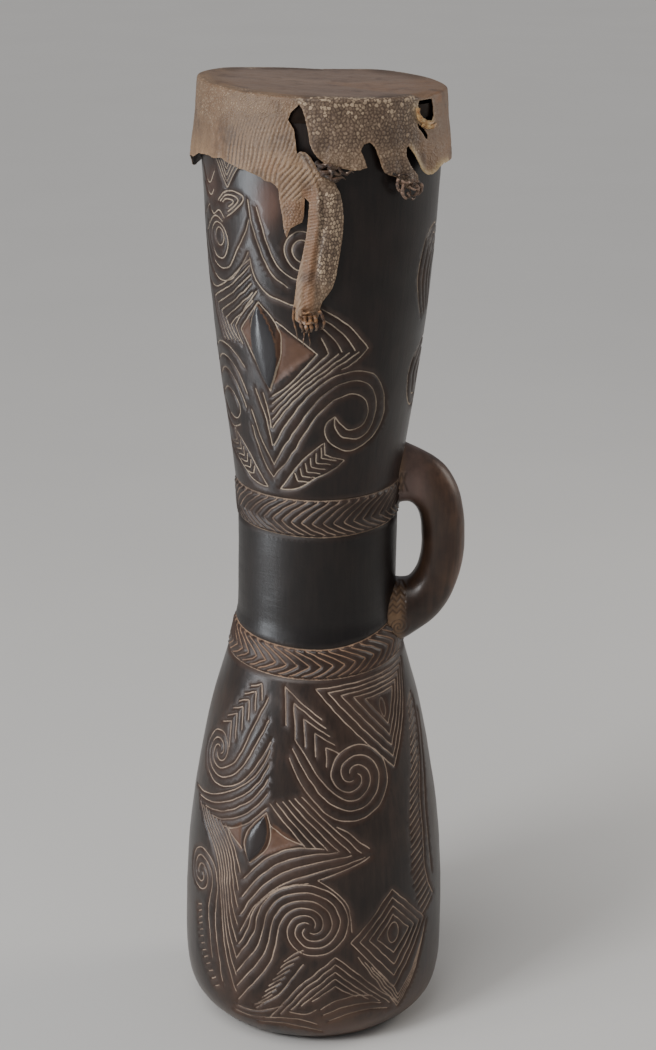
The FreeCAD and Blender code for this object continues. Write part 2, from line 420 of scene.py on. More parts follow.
def hand_cut(line):
    """A line as a hand cuts it, a little astray here and there."""
    out = line.copy()
    for p in out:
        spot = Vector((p[0] / 6, p[1] / 9, 3))
        p[0] += HAND_ACROSS * noise.noise(spot)
        p[1] += HAND_UP * noise.noise(spot + Vector((40, 0, 0)))
    return out


def rings(edge):
    a = np.linspace(-180, 180, 700)
    return np.column_stack([a, edge(a)])


# ------------------------------------------------------------------ carving the log

GROOVE_HALF = 1.95       # half width of a cut
GROOVE_DEPTH = 1.25
ROW_STEP = 1.25          # spacing of mesh points along a cut
ROWS = (0.0, -0.7, 0.7, -GROOVE_HALF, GROOVE_HALF)     # across a cut
FILL_STEP = 4.2          # spacing of mesh points elsewhere
CLEAR_OF_CUT = 2.3       # how far those keep from a cut
BORE_STEP = 9            # height of a ring of the bore
RING_POINTS = 300
SEAM_GAP = 0.8           # how far mesh points keep from a region's edges
BACK_SEAM = 179.6        # and the angle that they stay within at the seam at the back
CROWD = 0.5              # points closer than this are taken as one

# Raised eyes: angle, height, half width in degrees, half height, lift, lean in degrees per
# millimetre. Sunken triangles: three corners and the depth.
UPPER_EYES = [(-30.8, 545, 8.2, 32, 3.2, -0.074)]
LOWER_EYES = [(-27, 172, 5.2, 20, 2.2, 0.16)]
UPPER_HOLLOWS = [((-22.5, 561), (-2, 543), (-26, 517), 1.4),
                 ((-39.5, 565), (-45.5, 555), (-37, 537), 1.1)]
LOWER_HOLLOWS = [((-19, 186), (-6, 173), (-24, 160), 1.3), ((-36, 182), (-43, 173), (-35, 160), 1.3)]


def upright(angle, heights):
    return np.column_stack([np.full(len(heights), float(angle)), heights])


def wrap(angle):
    return (angle + 180) % 360 - 180


def resampled(line, step):
    """The line's points at an even spacing on the log's surface, in (angle, length)."""
    s = OUTSIDE.along(line[:, 1])
    across = np.radians(line[:, 0]) * OUTSIDE.radius(line[:, 1])
    run = np.concatenate([[0], np.cumsum(np.hypot(np.diff(across), np.diff(s)))])
    if run[-1] < step:
        return None
    at = np.linspace(0, run[-1], int(run[-1] / step) + 1)
    return np.column_stack([np.interp(at, run, line[:, 0]), np.interp(at, run, s)])


def groove_rows(points):
    """Mesh points along a cut and to both sides of it."""
    radius = np.interp(points[:, 1], OUTSIDE.s, OUTSIDE.r)
    flat = np.column_stack([np.radians(points[:, 0]) * radius, points[:, 1]])
    along = np.gradient(flat, axis=0)
    along /= np.maximum(np.linalg.norm(along, axis=1), 1e-6)[:, None]
    rows = []
    for offset in ROWS:
        side = np.column_stack([-along[:, 1], along[:, 0]]) * offset
        rows.append(points + np.column_stack([np.degrees(side[:, 0] / radius), side[:, 1]]))
    return rows


def eye_lift(angle, z, eyes):
    """Height and mask of the raised eyes."""
    lift, mask = np.zeros(len(z)), np.zeros(len(z))
    for at, height, half_angle, half_height, rise, lean in eyes:
        for turn in HALF_TURNS:
            x = np.abs(wrap(angle - at - turn - lean * (z - height))) / half_angle
            y = (z - height) / half_height
            inside = np.clip(1 - y * y - x, 0, 1)
            lift = np.maximum(lift, rise * np.sqrt(np.clip(inside * (2 - inside), 0, 1)))
            mask = np.maximum(mask, bell(inside * 6))
    return lift, mask


def hollow_depth(angle, z, hollows):
    """Depth and mask of the sunken triangles."""
    depth, mask = np.zeros(len(z)), np.zeros(len(z))
    for *corners, deep in hollows:
        for turn in HALF_TURNS:
            a = wrap(angle - turn)
            scale = math.radians(1) * OUTSIDE.radius(corners[0][1])
            inside = np.full(len(z), UNBOUND)
            p = [np.array([c[0] * scale, c[1]]) for c in corners]
            if np.cross(p[1] - p[0], p[2] - p[0]) < 0:
                p = p[::-1]
            for i in range(3):
                edge = p[(i + 1) % 3] - p[i]
                edge = edge / np.linalg.norm(edge)
                inside = np.minimum(inside, edge[0] * (z - p[i][1]) - edge[1] * (a * scale - p[i][0]))
            depth = np.maximum(depth, deep * bell(inside / 3.0))
            mask = np.maximum(mask, bell(inside / 1.5 + 0.5))
    return depth, mask


def rubbed(angle, z):
    """Where the blackening has worn to red-brown wood: beside the legs, and some of the right."""
    near_leg = np.exp(-((wrap(angle + 25.5) / 6) ** 2) - ((z - 651) / 17) ** 2)
    left_neck = 0.6 * np.exp(-((wrap(angle + 66) / 9) ** 2) - ((z - 656) / 14) ** 2)
    return np.clip(1.5 * near_leg + left_neck, 0, 1)


def waviness(points, size, seed):
    """Gentle unevenness of hand cut wood, from -1 to 1."""
    shift = Vector((seed, 0, 0))
    return np.array([noise.noise(Vector(p) / size + shift) for p in points])


def placed(name, data):
    obj = bpy.data.objects.new(name, data)
    bpy.context.scene.collection.objects.link(obj)
    return obj


def mesh_object(name, verts, faces, attributes, material, sharp=()):
    """A smooth mesh from points in millimetres, without the points that no face uses."""
    used = np.zeros(len(verts), bool)
    used[np.concatenate([list(f) for f in faces])] = True
    index = np.cumsum(used) - 1
    mesh = bpy.data.meshes.new(name)
    mesh.from_pydata([tuple(v) for v in verts[used] * MM], [],
                     [tuple(index[list(f)].tolist()) for f in faces])
    for key, values in attributes.items():
        layer = mesh.attributes.new(key, "FLOAT", "POINT")
        layer.data.foreach_set("value", np.asarray(values[used], np.float32))
    mesh.validate()
    mesh.polygons.foreach_set("use_smooth", [True] * len(mesh.polygons))
    if len(sharp):
        flags = mesh.attributes.new("sharp_edge", "BOOLEAN", "EDGE")
        marked = set(tuple(sorted(index[list(e)].tolist())) for e in sharp)
        values = [tuple(sorted(e.vertices)) in marked for e in mesh.edges]
        flags.data.foreach_set("value", values)
    mesh.materials.append(material)
    return placed(name, mesh)


def region_cuts(lines, edge_rings):
    """The cuts of a region on the unrolled log, with what wraps round the back repeated."""
    cuts = [resampled(line, ROW_STEP) for line in lines]
    cuts = [hand_cut(c) for c in cuts if c is not None]
    cuts += [resampled(line, ROW_STEP) for line in edge_rings]
    return [c + [turn, 0] for c in cuts for turn in (-360, 0, 360)
            if c[:, 0].min() + turn < 183 and c[:, 0].max() + turn > -183]


def even_filling(low, high, reference):
    """Mesh points between the cuts, in rows round the log."""
    columns = int(360 / math.degrees(FILL_STEP / reference))
    return np.vstack([np.column_stack([
        (np.arange(columns) + 0.5 * (i % 2)) * 360 / columns - 180 + 0.01, np.full(columns, s)])
        for i, s in enumerate(np.arange(low, high, FILL_STEP * 0.87))])


def shaping_points(eyes, hollows):
    """Extra mesh points where an eye or a hollow is shaped."""
    grids = []
    for at, height, half_angle, half_height, _, lean in eyes:
        grid = np.mgrid[-1:1:15j, -1:1:29j].reshape(2, -1).T * [half_angle * 1.05, half_height * 1.05]
        grid[:, 0] += lean * grid[:, 1]
        grids.append(grid + [at, height])
    for *corners, _ in hollows:
        lo, hi = np.min(corners, axis=0) - 1, np.max(corners, axis=0) + 1
        grids.append(np.mgrid[0:1:12j, 0:1:22j].reshape(2, -1).T * (hi - lo) + lo)
    return [np.column_stack([wrap(grid[:, 0] + turn), OUTSIDE.along(grid[:, 1])])
            for grid in grids for turn in HALF_TURNS]


def unrolled_border(ring, s_low, s_high):
    """The edge of a region's sheet: low edge, back seam, high edge, back seam. Also which
    point of the border is the same as which, because the sheet closes at the back."""
    seam = np.linspace(s_low[0], s_high[0], max(2, int((s_high[0] - s_low[0]) / 3)) + 1)[1:-1]
    border = np.vstack([np.column_stack([ring, s_low]), upright(180, seam),
                        np.column_stack([ring, s_high])[::-1], upright(-180, seam[::-1])])
    n_ring, n_seam = len(ring), len(seam)
    twin = {n_ring - 1: 0, n_ring + n_seam: 2 * n_ring + n_seam - 1}
    twin.update({n_ring + i: len(border) - 1 - i for i in range(n_seam)})
    high_ring = [2 * n_ring + n_seam - 1 - i for i in range(n_ring)]
    return border, twin, list(range(n_ring)), high_ring


def sheet_spots(cuts, extra, reference, low_at, high_at):
    """Mesh points along the cuts and between them, thinned where they crowd."""
    grooves = [groove_rows(cut) for cut in cuts]
    spots = np.vstack([groove[row] for row in range(len(ROWS)) for groove in grooves] + [extra])
    keep = ((np.abs(spots[:, 0]) < BACK_SEAM)
            & (spots[:, 1] > low_at(spots[:, 0]) + SEAM_GAP)
            & (spots[:, 1] < high_at(spots[:, 0]) - SEAM_GAP))
    spots = spots[keep]
    cell = np.round(np.column_stack([np.radians(spots[:, 0]) * reference, spots[:, 1]]) / CROWD)
    return spots[np.sort(np.unique(cell, axis=0, return_index=True)[1])]


def sheet_triangles(border, spots, twin, reference):
    """Triangles of the unrolled sheet with its back seam closed: the points, the faces, and
    for each point of the border the point that stands for it."""
    sheet = np.vstack([border, spots])
    flat = [Vector((math.radians(a) * reference, s)) for a, s in sheet]
    loop = [(i, (i + 1) % len(border)) for i in range(len(border))]
    out_verts, _, out_faces, source, _, _ = delaunay_2d_cdt(flat, loop, [], 1, 1e-4)
    order = [src[0] if src else -1 for src in source]
    sheet = np.array([sheet[k] if k >= 0 else (math.degrees(at[0] / reference), at[1])
                      for at, k in zip(out_verts, order)])
    place_of = {k: i for i, k in enumerate(order) if k >= 0}
    same = {place_of[a]: place_of[b] for a, b in twin.items() if a in place_of and b in place_of}
    faces = [tuple(same.get(v, v) for v in f) for f in out_faces]
    stands_for = {k: same.get(i, i) for k, i in place_of.items() if k < len(border)}
    return sheet, [f for f in faces if len(set(f)) == 3], stands_for


def bore_faces(first, steps, low_ring, high_ring):
    """Faces of the bore, whose points start at first, and of the two walls that join it to the
    sheet's edges. Also the edges that stay sharp."""
    def bore_at(j, i):
        return first + j * RING_POINTS + i % RING_POINTS

    faces = [(bore_at(j, i), bore_at(j + 1, i), bore_at(j + 1, i + 1), bore_at(j, i + 1))
             for j in range(steps) for i in range(RING_POINTS)]
    sharp = []
    for i in range(RING_POINTS):
        k = (i + 1) % RING_POINTS
        faces.append((low_ring[i], bore_at(0, i), bore_at(0, k), low_ring[k]))
        faces.append((high_ring[k], bore_at(steps, k), bore_at(steps, i), high_ring[i]))
        sharp += [(low_ring[i], low_ring[k]), (high_ring[i], high_ring[k]),
                  (bore_at(0, i), bore_at(0, k)), (bore_at(steps, i), bore_at(steps, k))]
    return faces, sharp


def carved_region(name, low, high, lines, edge_rings, material, eyes=(), hollows=(), raise_by=0.0):
    """One region of the log between two edges, cut with its lines and closed by the bore."""
    ring = np.linspace(-180, 180, RING_POINTS + 1)
    s_low, s_high = OUTSIDE.along(low(ring)), OUTSIDE.along(high(ring))
    reference = float(np.mean(OUTSIDE.radius((low(ring) + high(ring)) / 2)))
    cuts = region_cuts(lines, edge_rings)
    fine = np.hstack([[np.interp(np.arange(0, len(c) - 1, 1 / 3), np.arange(len(c)), c[:, k])
                       for k in (0, 1)] for c in cuts])
    tree = tree_of(OUTSIDE.place(*fine))

    def nearest(points):
        return np.array([min(tree.find(p)[2], FAR) for p in points])

    def low_at(angle):
        return np.interp(angle, ring, s_low)

    def high_at(angle):
        return np.interp(angle, ring, s_high)

    extra = np.vstack([even_filling(s_low.min(), s_high.max(), reference)]
                      + shaping_points(eyes, hollows))
    extra = extra[nearest(OUTSIDE.place(extra[:, 0], extra[:, 1])) > CLEAR_OF_CUT]
    spots = sheet_spots(cuts, extra, reference, low_at, high_at)
    border, twin, low_ring, high_ring = unrolled_border(ring, s_low, s_high)
    sheet, faces, stands_for = sheet_triangles(border, spots, twin, reference)

    # How far each point stands above or below the log's outline
    base = OUTSIDE.place(sheet[:, 0], sheet[:, 1])
    z = np.interp(sheet[:, 1], OUTSIDE.s, OUTSIDE.z)
    gap = nearest(base)
    eye, eye_mask = eye_lift(sheet[:, 0], z, eyes)
    hollow, hollow_mask = hollow_depth(sheet[:, 0], z, hollows)
    lift = -GROOVE_DEPTH * np.clip(1 - gap / GROOVE_HALF, 0, 1) ** 1.35
    lift = lift * (1 - 0.6 * eye_mask) + eye - hollow
    uneven = waviness(base, 26.0, 3.0) * 0.35 + waviness(base, 9.0, 7.0) * 0.10
    if raise_by:
        from_edge = np.minimum(sheet[:, 1] - low_at(sheet[:, 0]), high_at(sheet[:, 0]) - sheet[:, 1])
        lift = lift + raise_by * bell((from_edge - 0.2) / 2.2)
    outer = tilt(OUTSIDE.place(sheet[:, 0], sheet[:, 1], lift + uneven))

    # Plain rings of the bore, from the low edge to the high edge
    steps = max(2, int((s_high.mean() - s_low.mean()) / BORE_STEP))
    heights = np.concatenate(lerp(low(ring[:-1]), high(ring[:-1]), steps + 1))
    bore = tilt(INSIDE.place(np.tile(ring[:-1], steps + 1), INSIDE.along(heights)))
    low_ring, high_ring = ([stands_for[i] for i in edge[:-1]] for edge in (low_ring, high_ring))
    more, sharp = bore_faces(len(outer), steps, low_ring, high_ring)
    verts = np.vstack([outer, bore])
    verts[:, 2] = np.maximum(verts[:, 2], 0)      # nothing reaches below the floor
    marks = {"cut": (gap, FAR), "eye": (eye_mask, 0), "hollow": (hollow_mask, 0),
             "rubbed": (rubbed(sheet[:, 0], z), 0), "bore": (np.zeros(len(outer)), 1)}
    marks = {key: np.append(outside, np.full(len(bore), float(inside)))
             for key, (outside, inside) in marks.items()}
    return mesh_object(name, verts, faces + more, marks, material, sharp)


# ------------------------------------------------------------------ materials

class Nodes:
    """A short way to build a material's node tree."""

    def __init__(self, name):
        self.material = bpy.data.materials.new(name)
        self.material.use_nodes = True
        self.tree = self.material.node_tree
        self.shader = self.tree.nodes["Principled BSDF"]
        self.where = self.add("ShaderNodeTexCoord").outputs["Object"]

    def add(self, kind, inputs=None, **settings):
        node = self.tree.nodes.new(kind)
        for key, value in settings.items():
            setattr(node, key, value)
        for key, value in (inputs or {}).items():
            self.set(node.inputs[key], value)
        return node

    def set(self, socket, value):
        if isinstance(value, bpy.types.NodeSocket):
            self.tree.links.new(value, socket)
        else:
            socket.default_value = (*value, 1) if socket.type == "RGBA" else value

    def attribute(self, name):
        return self.add("ShaderNodeAttribute", attribute_name=name).outputs["Fac"]

    def noise(self, scale, detail, stretch=None):
        """Noise over the object's own space, squeezed along the axes by stretch."""
        vector = self.where
        if stretch:
            vector = self.add("ShaderNodeMapping", {"Vector": vector, "Scale": stretch}).outputs["Vector"]
        return self.add("ShaderNodeTexNoise", {"Vector": vector, "Scale": scale, "Detail": detail,
                                               "Roughness": 0.55}).outputs["Fac"]

    def ramp(self, value, *stops, ease="LINEAR"):
        node = self.add("ShaderNodeValToRGB", {"Fac": value})
        node.color_ramp.interpolation = ease
        elements = node.color_ramp.elements
        while len(elements) < len(stops):
            elements.new(0.5)
        for element, (at, grey) in zip(elements, stops):
            element.position = at
            element.color = (grey, grey, grey, 1)
        return node.outputs["Color"]

    def rise(self, value, low, high):
        return self.ramp(value, (low, 0.0), (high, 1.0))

    def math(self, operation, a, b, clamp=False):
        return self.add("ShaderNodeMath", {0: a, 1: b}, operation=operation,
                        use_clamp=clamp).outputs["Value"]

    def plus(self, a, b):
        return self.math("ADD", a, b)

    def times(self, a, b):
        return self.math("MULTIPLY", a, b)

    def mix(self, factor, a, b):
        """A colour from a to b. The node's inputs 6 and 7 are its colour sockets."""
        return self.add("ShaderNodeMix", {0: factor, 6: a, 7: b}, data_type="RGBA").outputs[2]

    def bump(self, height, strength, distance):
        return self.add("ShaderNodeBump", {"Height": height, "Strength": strength,
                                           "Distance": distance}).outputs["Normal"]

    def finish(self, **sockets):
        for name, value in sockets.items():
            self.set(self.shader.inputs[name.replace("_", " ")], value)
        return self.material


def carved_wood(name, dark, brown, lime, lime_amount, dust, scraped=0.0,
                eye_tone_with_painted_sheen=(0.034, 0.033, 0.036)):
    """Blackened, hand polished wood with lime rubbed into the cuts. scraped is how much the
    marks of the scraper show, which run round the log."""
    n = Nodes(name)
    grain = n.noise(300, 6, (1, 1, 0.10))
    patches = n.noise(13, 5)
    smoky = n.noise(55, 5, (1, 1, 0.5))
    wood = n.mix(n.rise(patches, 0.36, 0.68), dark, brown)
    wood = n.mix(n.ramp(smoky, (0.42, 0.0), (0.72, 0.55)), wood, tuple(c * 0.45 for c in dark))
    wood = n.mix(n.ramp(grain, (0.28, 0.55), (0.6, 0.0)), wood, (0.003, 0.002, 0.002))
    cut = n.attribute("cut")
    # Brown dust and wear gather beside the cuts
    beside = n.ramp(n.math("DIVIDE", cut, 8.0), (0.08, 1.0), (0.62, 0.0))
    dusty = n.times(beside, n.ramp(n.noise(42, 5), (0.34, 0.25), (0.66, 1.0)))
    wood = n.mix(n.times(dusty, dust), wood, (0.062, 0.034, 0.023))
    red = n.mix(n.noise(120, 5), (0.062, 0.028, 0.016), (0.180, 0.090, 0.052))
    wood = n.mix(n.times(n.attribute("hollow"), 0.8), wood, red)
    eye = n.attribute("eye")
    eye_rim = n.ramp(eye, (0.02, 0.0), (0.30, 0.85), (0.75, 0.0))
    # The raised eyes take a grey lighter than the blackened wood: their own dark tone, lightened as a
    # painted reflection of their polish
    wood = n.mix(n.rise(eye, 0.2, 0.8), wood, eye_tone_with_painted_sheen)
    wood = n.mix(eye_rim, wood, (0.13, 0.068, 0.038))
    height = n.add("ShaderNodeSeparateXYZ", {"Vector": n.where}).outputs["Z"]
    # Wear: the wood is rubbed brown near the foot
    wear_and_painted_highlight = n.times(n.ramp(n.times(height, 10.0), (0.02, 1.0), (0.52, 0.0)),
                  n.ramp(n.noise(30, 6), (0.36, 0.05), (0.62, 1.0)))
    wood = n.mix(n.times(wear_and_painted_highlight, 0.85), wood, (0.125, 0.070, 0.046))
    rubbed = n.attribute("rubbed")
    red_wood = n.mix(smoky, (0.060, 0.026, 0.018), (0.16, 0.082, 0.056))
    wood = n.mix(n.times(rubbed, n.ramp(patches, (0.2, 0.55), (0.6, 0.95))), wood, red_wood)
    wood = n.mix(n.attribute("bore"), wood, (0.045, 0.028, 0.019))
    # Lime holds at the bottom of a cut, in a ragged line that has fallen out in places
    ragged = n.plus(n.times(n.noise(520, 4), 0.75), n.times(n.noise(90, 3), 0.55))
    width = n.plus(n.times(ragged, 0.9), 0.02)
    line = n.ramp(n.math("DIVIDE", cut, width), (0.45, 1.0), (0.98, 0.0), ease="EASE")
    gone = n.ramp(n.noise(36, 5), (0.33, 1 - lime_amount), (0.56, 1.0))
    line = n.times(line, gone)
    tone = n.mix(n.noise(170, 4), tuple(c * 0.42 for c in lime), lime)
    color = n.mix(line, wood, tone)
    rough = n.plus(n.ramp(patches, (0.3, 0.27), (0.7, 0.40)), n.times(dusty, 0.20))
    rough = n.plus(rough, n.times(line, 0.4))
    rough = n.plus(rough, n.times(n.attribute("hollow"), 0.15))
    rough = n.math("SUBTRACT", rough, n.times(eye, 0.13), clamp=True)
    relief = n.plus(n.times(grain, 0.6), n.times(n.noise(900, 3), 0.4))
    scrapes = n.noise(42, 5, (1, 1, 7))
    relief = n.plus(relief, n.times(scrapes, 3.0 * scraped))
    rough = n.plus(rough, n.times(scrapes, 0.35 * scraped))
    return n.finish(Base_Color=color, Roughness=rough, Normal=n.bump(relief, 0.32, 0.0004),
                    Specular_IOR_Level=0.38)


UPPER_WOOD = carved_wood("upper_wood", (0.010, 0.007, 0.006), (0.024, 0.013, 0.010),
                         (0.60, 0.49, 0.37), 0.70, 0.70)
WAIST_WOOD = carved_wood("waist_wood", (0.007, 0.005, 0.005), (0.014, 0.009, 0.007),
                         (0.42, 0.31, 0.22), 0.6, 0.3, 0.35)
UPPER_BAND_WOOD = carved_wood("upper_band_wood", (0.009, 0.006, 0.005), (0.026, 0.015, 0.011),
                              (0.36, 0.26, 0.19), 0.7, 0.55)
BAND_WOOD = carved_wood("band_wood", (0.013, 0.008, 0.006), (0.040, 0.021, 0.014),
                        (0.40, 0.25, 0.16), 0.75, 0.95)
# The lower eye's grey is lightened as a painted reflection
LOWER_WOOD = carved_wood("lower_wood", (0.016, 0.010, 0.008), (0.045, 0.026, 0.018),
                         (0.54, 0.41, 0.31), 0.72, 0.9, eye_tone_with_painted_sheen=(0.024, 0.018, 0.017))

# ------------------------------------------------------------------ the five regions of the log

upper_lines = front_and_back(upper_motif())
lower_lines = front_and_back(lower_motif())
upper_band_lines = band_chevrons(EDGES[3], EDGES[4], 49, 0.40, 2.5, 2.3)
lower_band_lines = [line * [-1, 1] for line in band_chevrons(
    lambda a: EDGES[1](-a), lambda a: EDGES[2](-a), 47, 0.44, 2.3, 1.7)]
borders = [rings(edge) for edge in EDGES]

REGIONS = [
    carved_region("lower_bowl_carved", EDGES[0], EDGES[1], lower_lines, [borders[1]], LOWER_WOOD,
                  LOWER_EYES, LOWER_HOLLOWS),
    carved_region("lower_band_carved", EDGES[1], EDGES[2], lower_band_lines,
                  [borders[1], borders[2]], BAND_WOOD, raise_by=BAND_RAISE),
    carved_region("waist_polished", EDGES[2], EDGES[3], [], [borders[2], borders[3]], WAIST_WOOD),
    carved_region("upper_band_carved", EDGES[3], EDGES[4], upper_band_lines,
                  [borders[3], borders[4]], UPPER_BAND_WOOD, raise_by=BAND_RAISE),
    carved_region("upper_bowl_carved", EDGES[4], EDGES[5], upper_lines, [borders[4]], UPPER_WOOD,
                  UPPER_EYES, UPPER_HOLLOWS),
]
for obj, node in zip(REGIONS, ("lower_bowl", "lower_band", "waist", "upper_band", "upper_bowl")):
    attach(obj, "drum")
    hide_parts(node)

# ------------------------------------------------------------------ the lizard skin: outlines

SKIN_RADIUS = 89.0           # outer radius at the rim
SKIRT_RADIUS = 92.4          # outer radius at the lower edge
SKIRT_LOW, SKIRT_HIGH = 672.0, 717.6
TONGUE_LEAN = 0.092          # how fast the tongues lean in towards the log below the skirt
RIM_ROUND = 2.4
RIM_TURNS = (15, 30, 45, 60, 75, 90)       # degrees round the rim at which the mesh has rings
PER_DEGREE = math.radians(1) * SKIN_RADIUS
HEAD_COLUMNS = 600
SKIN_STEP, TONGUE_STEP, BACK_STEP = 0.66, 0.46, 3.2   # mesh spacing of head, tongues and inner faces
FINE_SIDE = 92               # the mesh is fine within this many degrees of the front
SKIN_THICK, TORN_THIN = 1.2, 0.5      # thickness, and the share of it left at a torn edge

# Lower edge of the skirt from the back round to the tongues, as (angle, height)
SKIRT_EDGE = [(-180, 671), (-171, 674), (-163, 670.5), (-154, 668), (-146, 672), (-137, 674),
              (-128, 669), (-118, 663.5), (-110, 660), (-101, 659.5), (-96, 660.5), (-91.5, 664),
              (-88, 668.5), (-84, 671), (-78, 671.5), (-72, 675.5), (-66, 676.4), (-60, 677),
              (-55, 676), (-50, 677.6), (-45, 675.3), (-41, 674.2), (-38, 672.6), (-34, 672.2),
              (-30, 670), (-27, 668.6), (-25, 666.2), (-22, 665.4), (-20, 663.4), (-18.6, 661.5)]
LOBE_ROOT = [(-18.6, 661.5), (-15, 660.5), (-11, 658.5), (-7, 656.5)]
LEG_ROOT = [(-7, 656.5), (-7.6, 664), (-8.6, 674), (-10.3, 686)]
SLIT = [(-10.3, 686), (-11, 694), (-11.8, 700), (-14.6, 705.5), (-13.6, 709.5), (-11.4, 713),
        (-9.8, 715.4), (-8.4, 712.4), (-7, 707), (-5.8, 700), (-4.8, 692), (-3, 686.5),
        (-0.5, 682.4), (1.2, 680), (3.6, 678.6), (5, 675.8), (7.6, 677), (10, 676.2), (13, 675),
        (16.5, 675), (20, 676.6), (18.9, 682), (17.2, 688), (18.6, 692), (21.6, 692.8),
        (23.6, 690), (25.4, 683), (27.3, 675), (28.6, 671.8)]
FOOT_ROOT = [(28.6, 671.8), (32, 671.4), (36, 671), (40, 671.6), (43.6, 672.4)]
FLAP_EDGE = [(43.6, 672.4), (41.4, 676.4), (39.6, 682), (39.8, 687.6), (41, 688.8), (42.4, 686),
             (44.8, 680.5), (46.6, 676), (48.4, 671.4), (50.4, 668.6), (52.8, 667), (55.4, 666.8),
             (57.8, 668.4), (59.8, 671.4), (62.6, 673), (68, 673.4), (75, 671.8), (82, 670.4),
             (88, 669.4), (94, 669.4), (101, 672), (109, 674), (116, 672.5), (124, 676),
             (133, 673), (141, 668.5), (149, 666), (157, 668), (165, 672.5), (173, 670), (180, 671)]
RIM_HOLE = [(47.2, 713.6), (48.6, 716.9), (53.6, 717), (58.8, 716.8), (59.6, 711), (59.2, 705),
            (56.4, 702.8), (53, 703.4), (49.4, 706), (47.6, 709.6)]
CRACK = [(46.9, 702.8), (48.8, 700.6), (51.6, 697.8), (53.8, 693.8), (53.4, 691.2), (52, 691.6),
         (50, 695.4), (47.4, 699.4)]
LEG = [(-8.6, 687.6), (-6.4, 687), (-4.5, 684.4), (-2.6, 680), (-1.2, 676),
       (0.2, 672.4), (2.4, 670.4), (4.6, 668.6), (6.6, 665), (8.4, 659.5), (9.6, 652),
       (10.2, 642), (10.2, 631), (9.4, 618), (8.4, 608), (7.4, 599), (6.0, 591.4), (3.8, 586.4),
       (1.6, 582.6), (0.5, 578), (0.2, 573.6), (-0.8, 570), (-3.4, 568.6), (-5.4, 570),
       (-7.2, 568.2), (-9.4, 567.6), (-11.2, 568.8), (-12.8, 571.8), (-13, 575.6), (-12.2, 580),
       (-11.8, 584), (-11.4, 590), (-10.8, 598), (-9.5, 606), (-7.9, 616), (-6.5, 627),
       (-5.6, 638), (-5.0, 648), (-4.8, 653)]
LOBE = [(-18.2, 655), (-17.6, 648), (-16.8, 641), (-16.3, 635), (-15.6, 630.4), (-14.8, 627.6),
        (-14.1, 630.8), (-13, 634.4), (-10.5, 636.6), (-8, 638.6), (-7.2, 643), (-6.9, 648.6),
        (-6.8, 654)]
FOOT = [(30.4, 670.4), (33, 669.2), (34.6, 668), (35.4, 665), (37.2, 661.8), (39.8, 659.6),
        (43.2, 659), (46, 661), (47.4, 664.6), (47, 667.4), (45.4, 670.2)]


SHORE_STEP = 0.95        # spacing of the points of a torn edge


def shore(points, rag=0.35):
    """A torn edge: the outline's points joined at an even step and slightly ragged."""
    out = [np.array(points[0], float)]
    for a, b in zip(points[:-1], points[1:]):
        a, b = np.array(a, float), np.array(b, float)
        length = math.hypot((b[0] - a[0]) * PER_DEGREE, b[1] - a[1])
        steps = max(1, round(length / SHORE_STEP))
        for i in range(1, steps + 1):
            p = a + (b - a) * i / steps
            if i < steps and rag:
                p[1] += rag * noise.noise(Vector((p[0] * 1.9, p[1] * 1.3, 1)))
                p[0] += rag / PER_DEGREE * noise.noise(Vector((p[1] * 1.7, p[0] * 1.1, 10)))
            out.append(p)
    return np.array(out)


def inside_loop(points, loop):
    """Which points lie inside a closed loop."""
    x, y = points[:, 0], points[:, 1]
    hit = np.zeros(len(points), bool)
    for (x0, y0), (x1, y1) in zip(loop, np.roll(loop, -1, axis=0)):
        if y0 != y1:
            crosses = (y0 > y) != (y1 > y)
            hit ^= crosses & (x < x0 + (y - y0) / (y1 - y0) * (x1 - x0))
    return hit


def distance_to(points, lines):
    """Distance in millimetres from each (angle, height) to the nearest point of some lines."""
    tree = tree_of([(a * PER_DEGREE, z, 0) for line in lines for a, z in line])
    return np.array([tree.find((a * PER_DEGREE, z, 0))[2] for a, z in points])


def filled(loops, step):
    """Triangles between closed loops: the first is the outline, the rest are holes."""
    border = np.vstack(loops)
    lo, hi = border.min(axis=0), border.max(axis=0)
    columns = np.arange(lo[0], hi[0], step / PER_DEGREE)
    rows = []
    for i, z in enumerate(np.arange(lo[1] + step / 2, hi[1], step * 0.866)):
        shifted = columns + (i % 2) * 0.5 * step / PER_DEGREE
        # The back of the skin is plainer, so a quarter of the points do there
        keep = (np.abs(shifted) < FINE_SIDE) | ((i % 2 == 0) & (np.arange(len(columns)) % 2 == 0))
        rows.append(np.column_stack([shifted, np.full(len(columns), z)])[keep])
    grid = np.vstack(rows)

    def covered(points):
        keep = inside_loop(points, loops[0])
        for hole in loops[1:]:
            keep &= ~inside_loop(points, hole)
        return keep

    grid = grid[covered(grid)]
    grid = grid[distance_to(grid, loops) > 0.6 * step]
    sheet = np.vstack([border, grid])
    edges, start = [], 0
    for loop in loops:
        edges += [(start + i, start + (i + 1) % len(loop)) for i in range(len(loop))]
        start += len(loop)
    flat = [Vector((a * PER_DEGREE, z)) for a, z in sheet]
    verts, _, faces, source, _, _ = delaunay_2d_cdt(flat, edges, [], 1, 1e-5)
    if len(verts) != len(sheet):
        raise ValueError("an outline crosses itself")
    first = np.array([s[0] for s in source])
    faces = first[np.array(faces)]
    return sheet, faces[covered(sheet[faces].mean(axis=1))], edges


# ------------------------------------------------------------------ the scales

def whole_hash(i, j, seed):
    """A steady random number from 0 to 1 for each pair of whole numbers."""
    i, j = i.astype(np.int64), j.astype(np.int64)
    h = (i * 73856093) ^ (j * 19349663) ^ (seed * 83492791)
    h = (h ^ (h >> 13)) * 1274126177
    return ((h >> 8) & 0xFFFF) / 65535.0


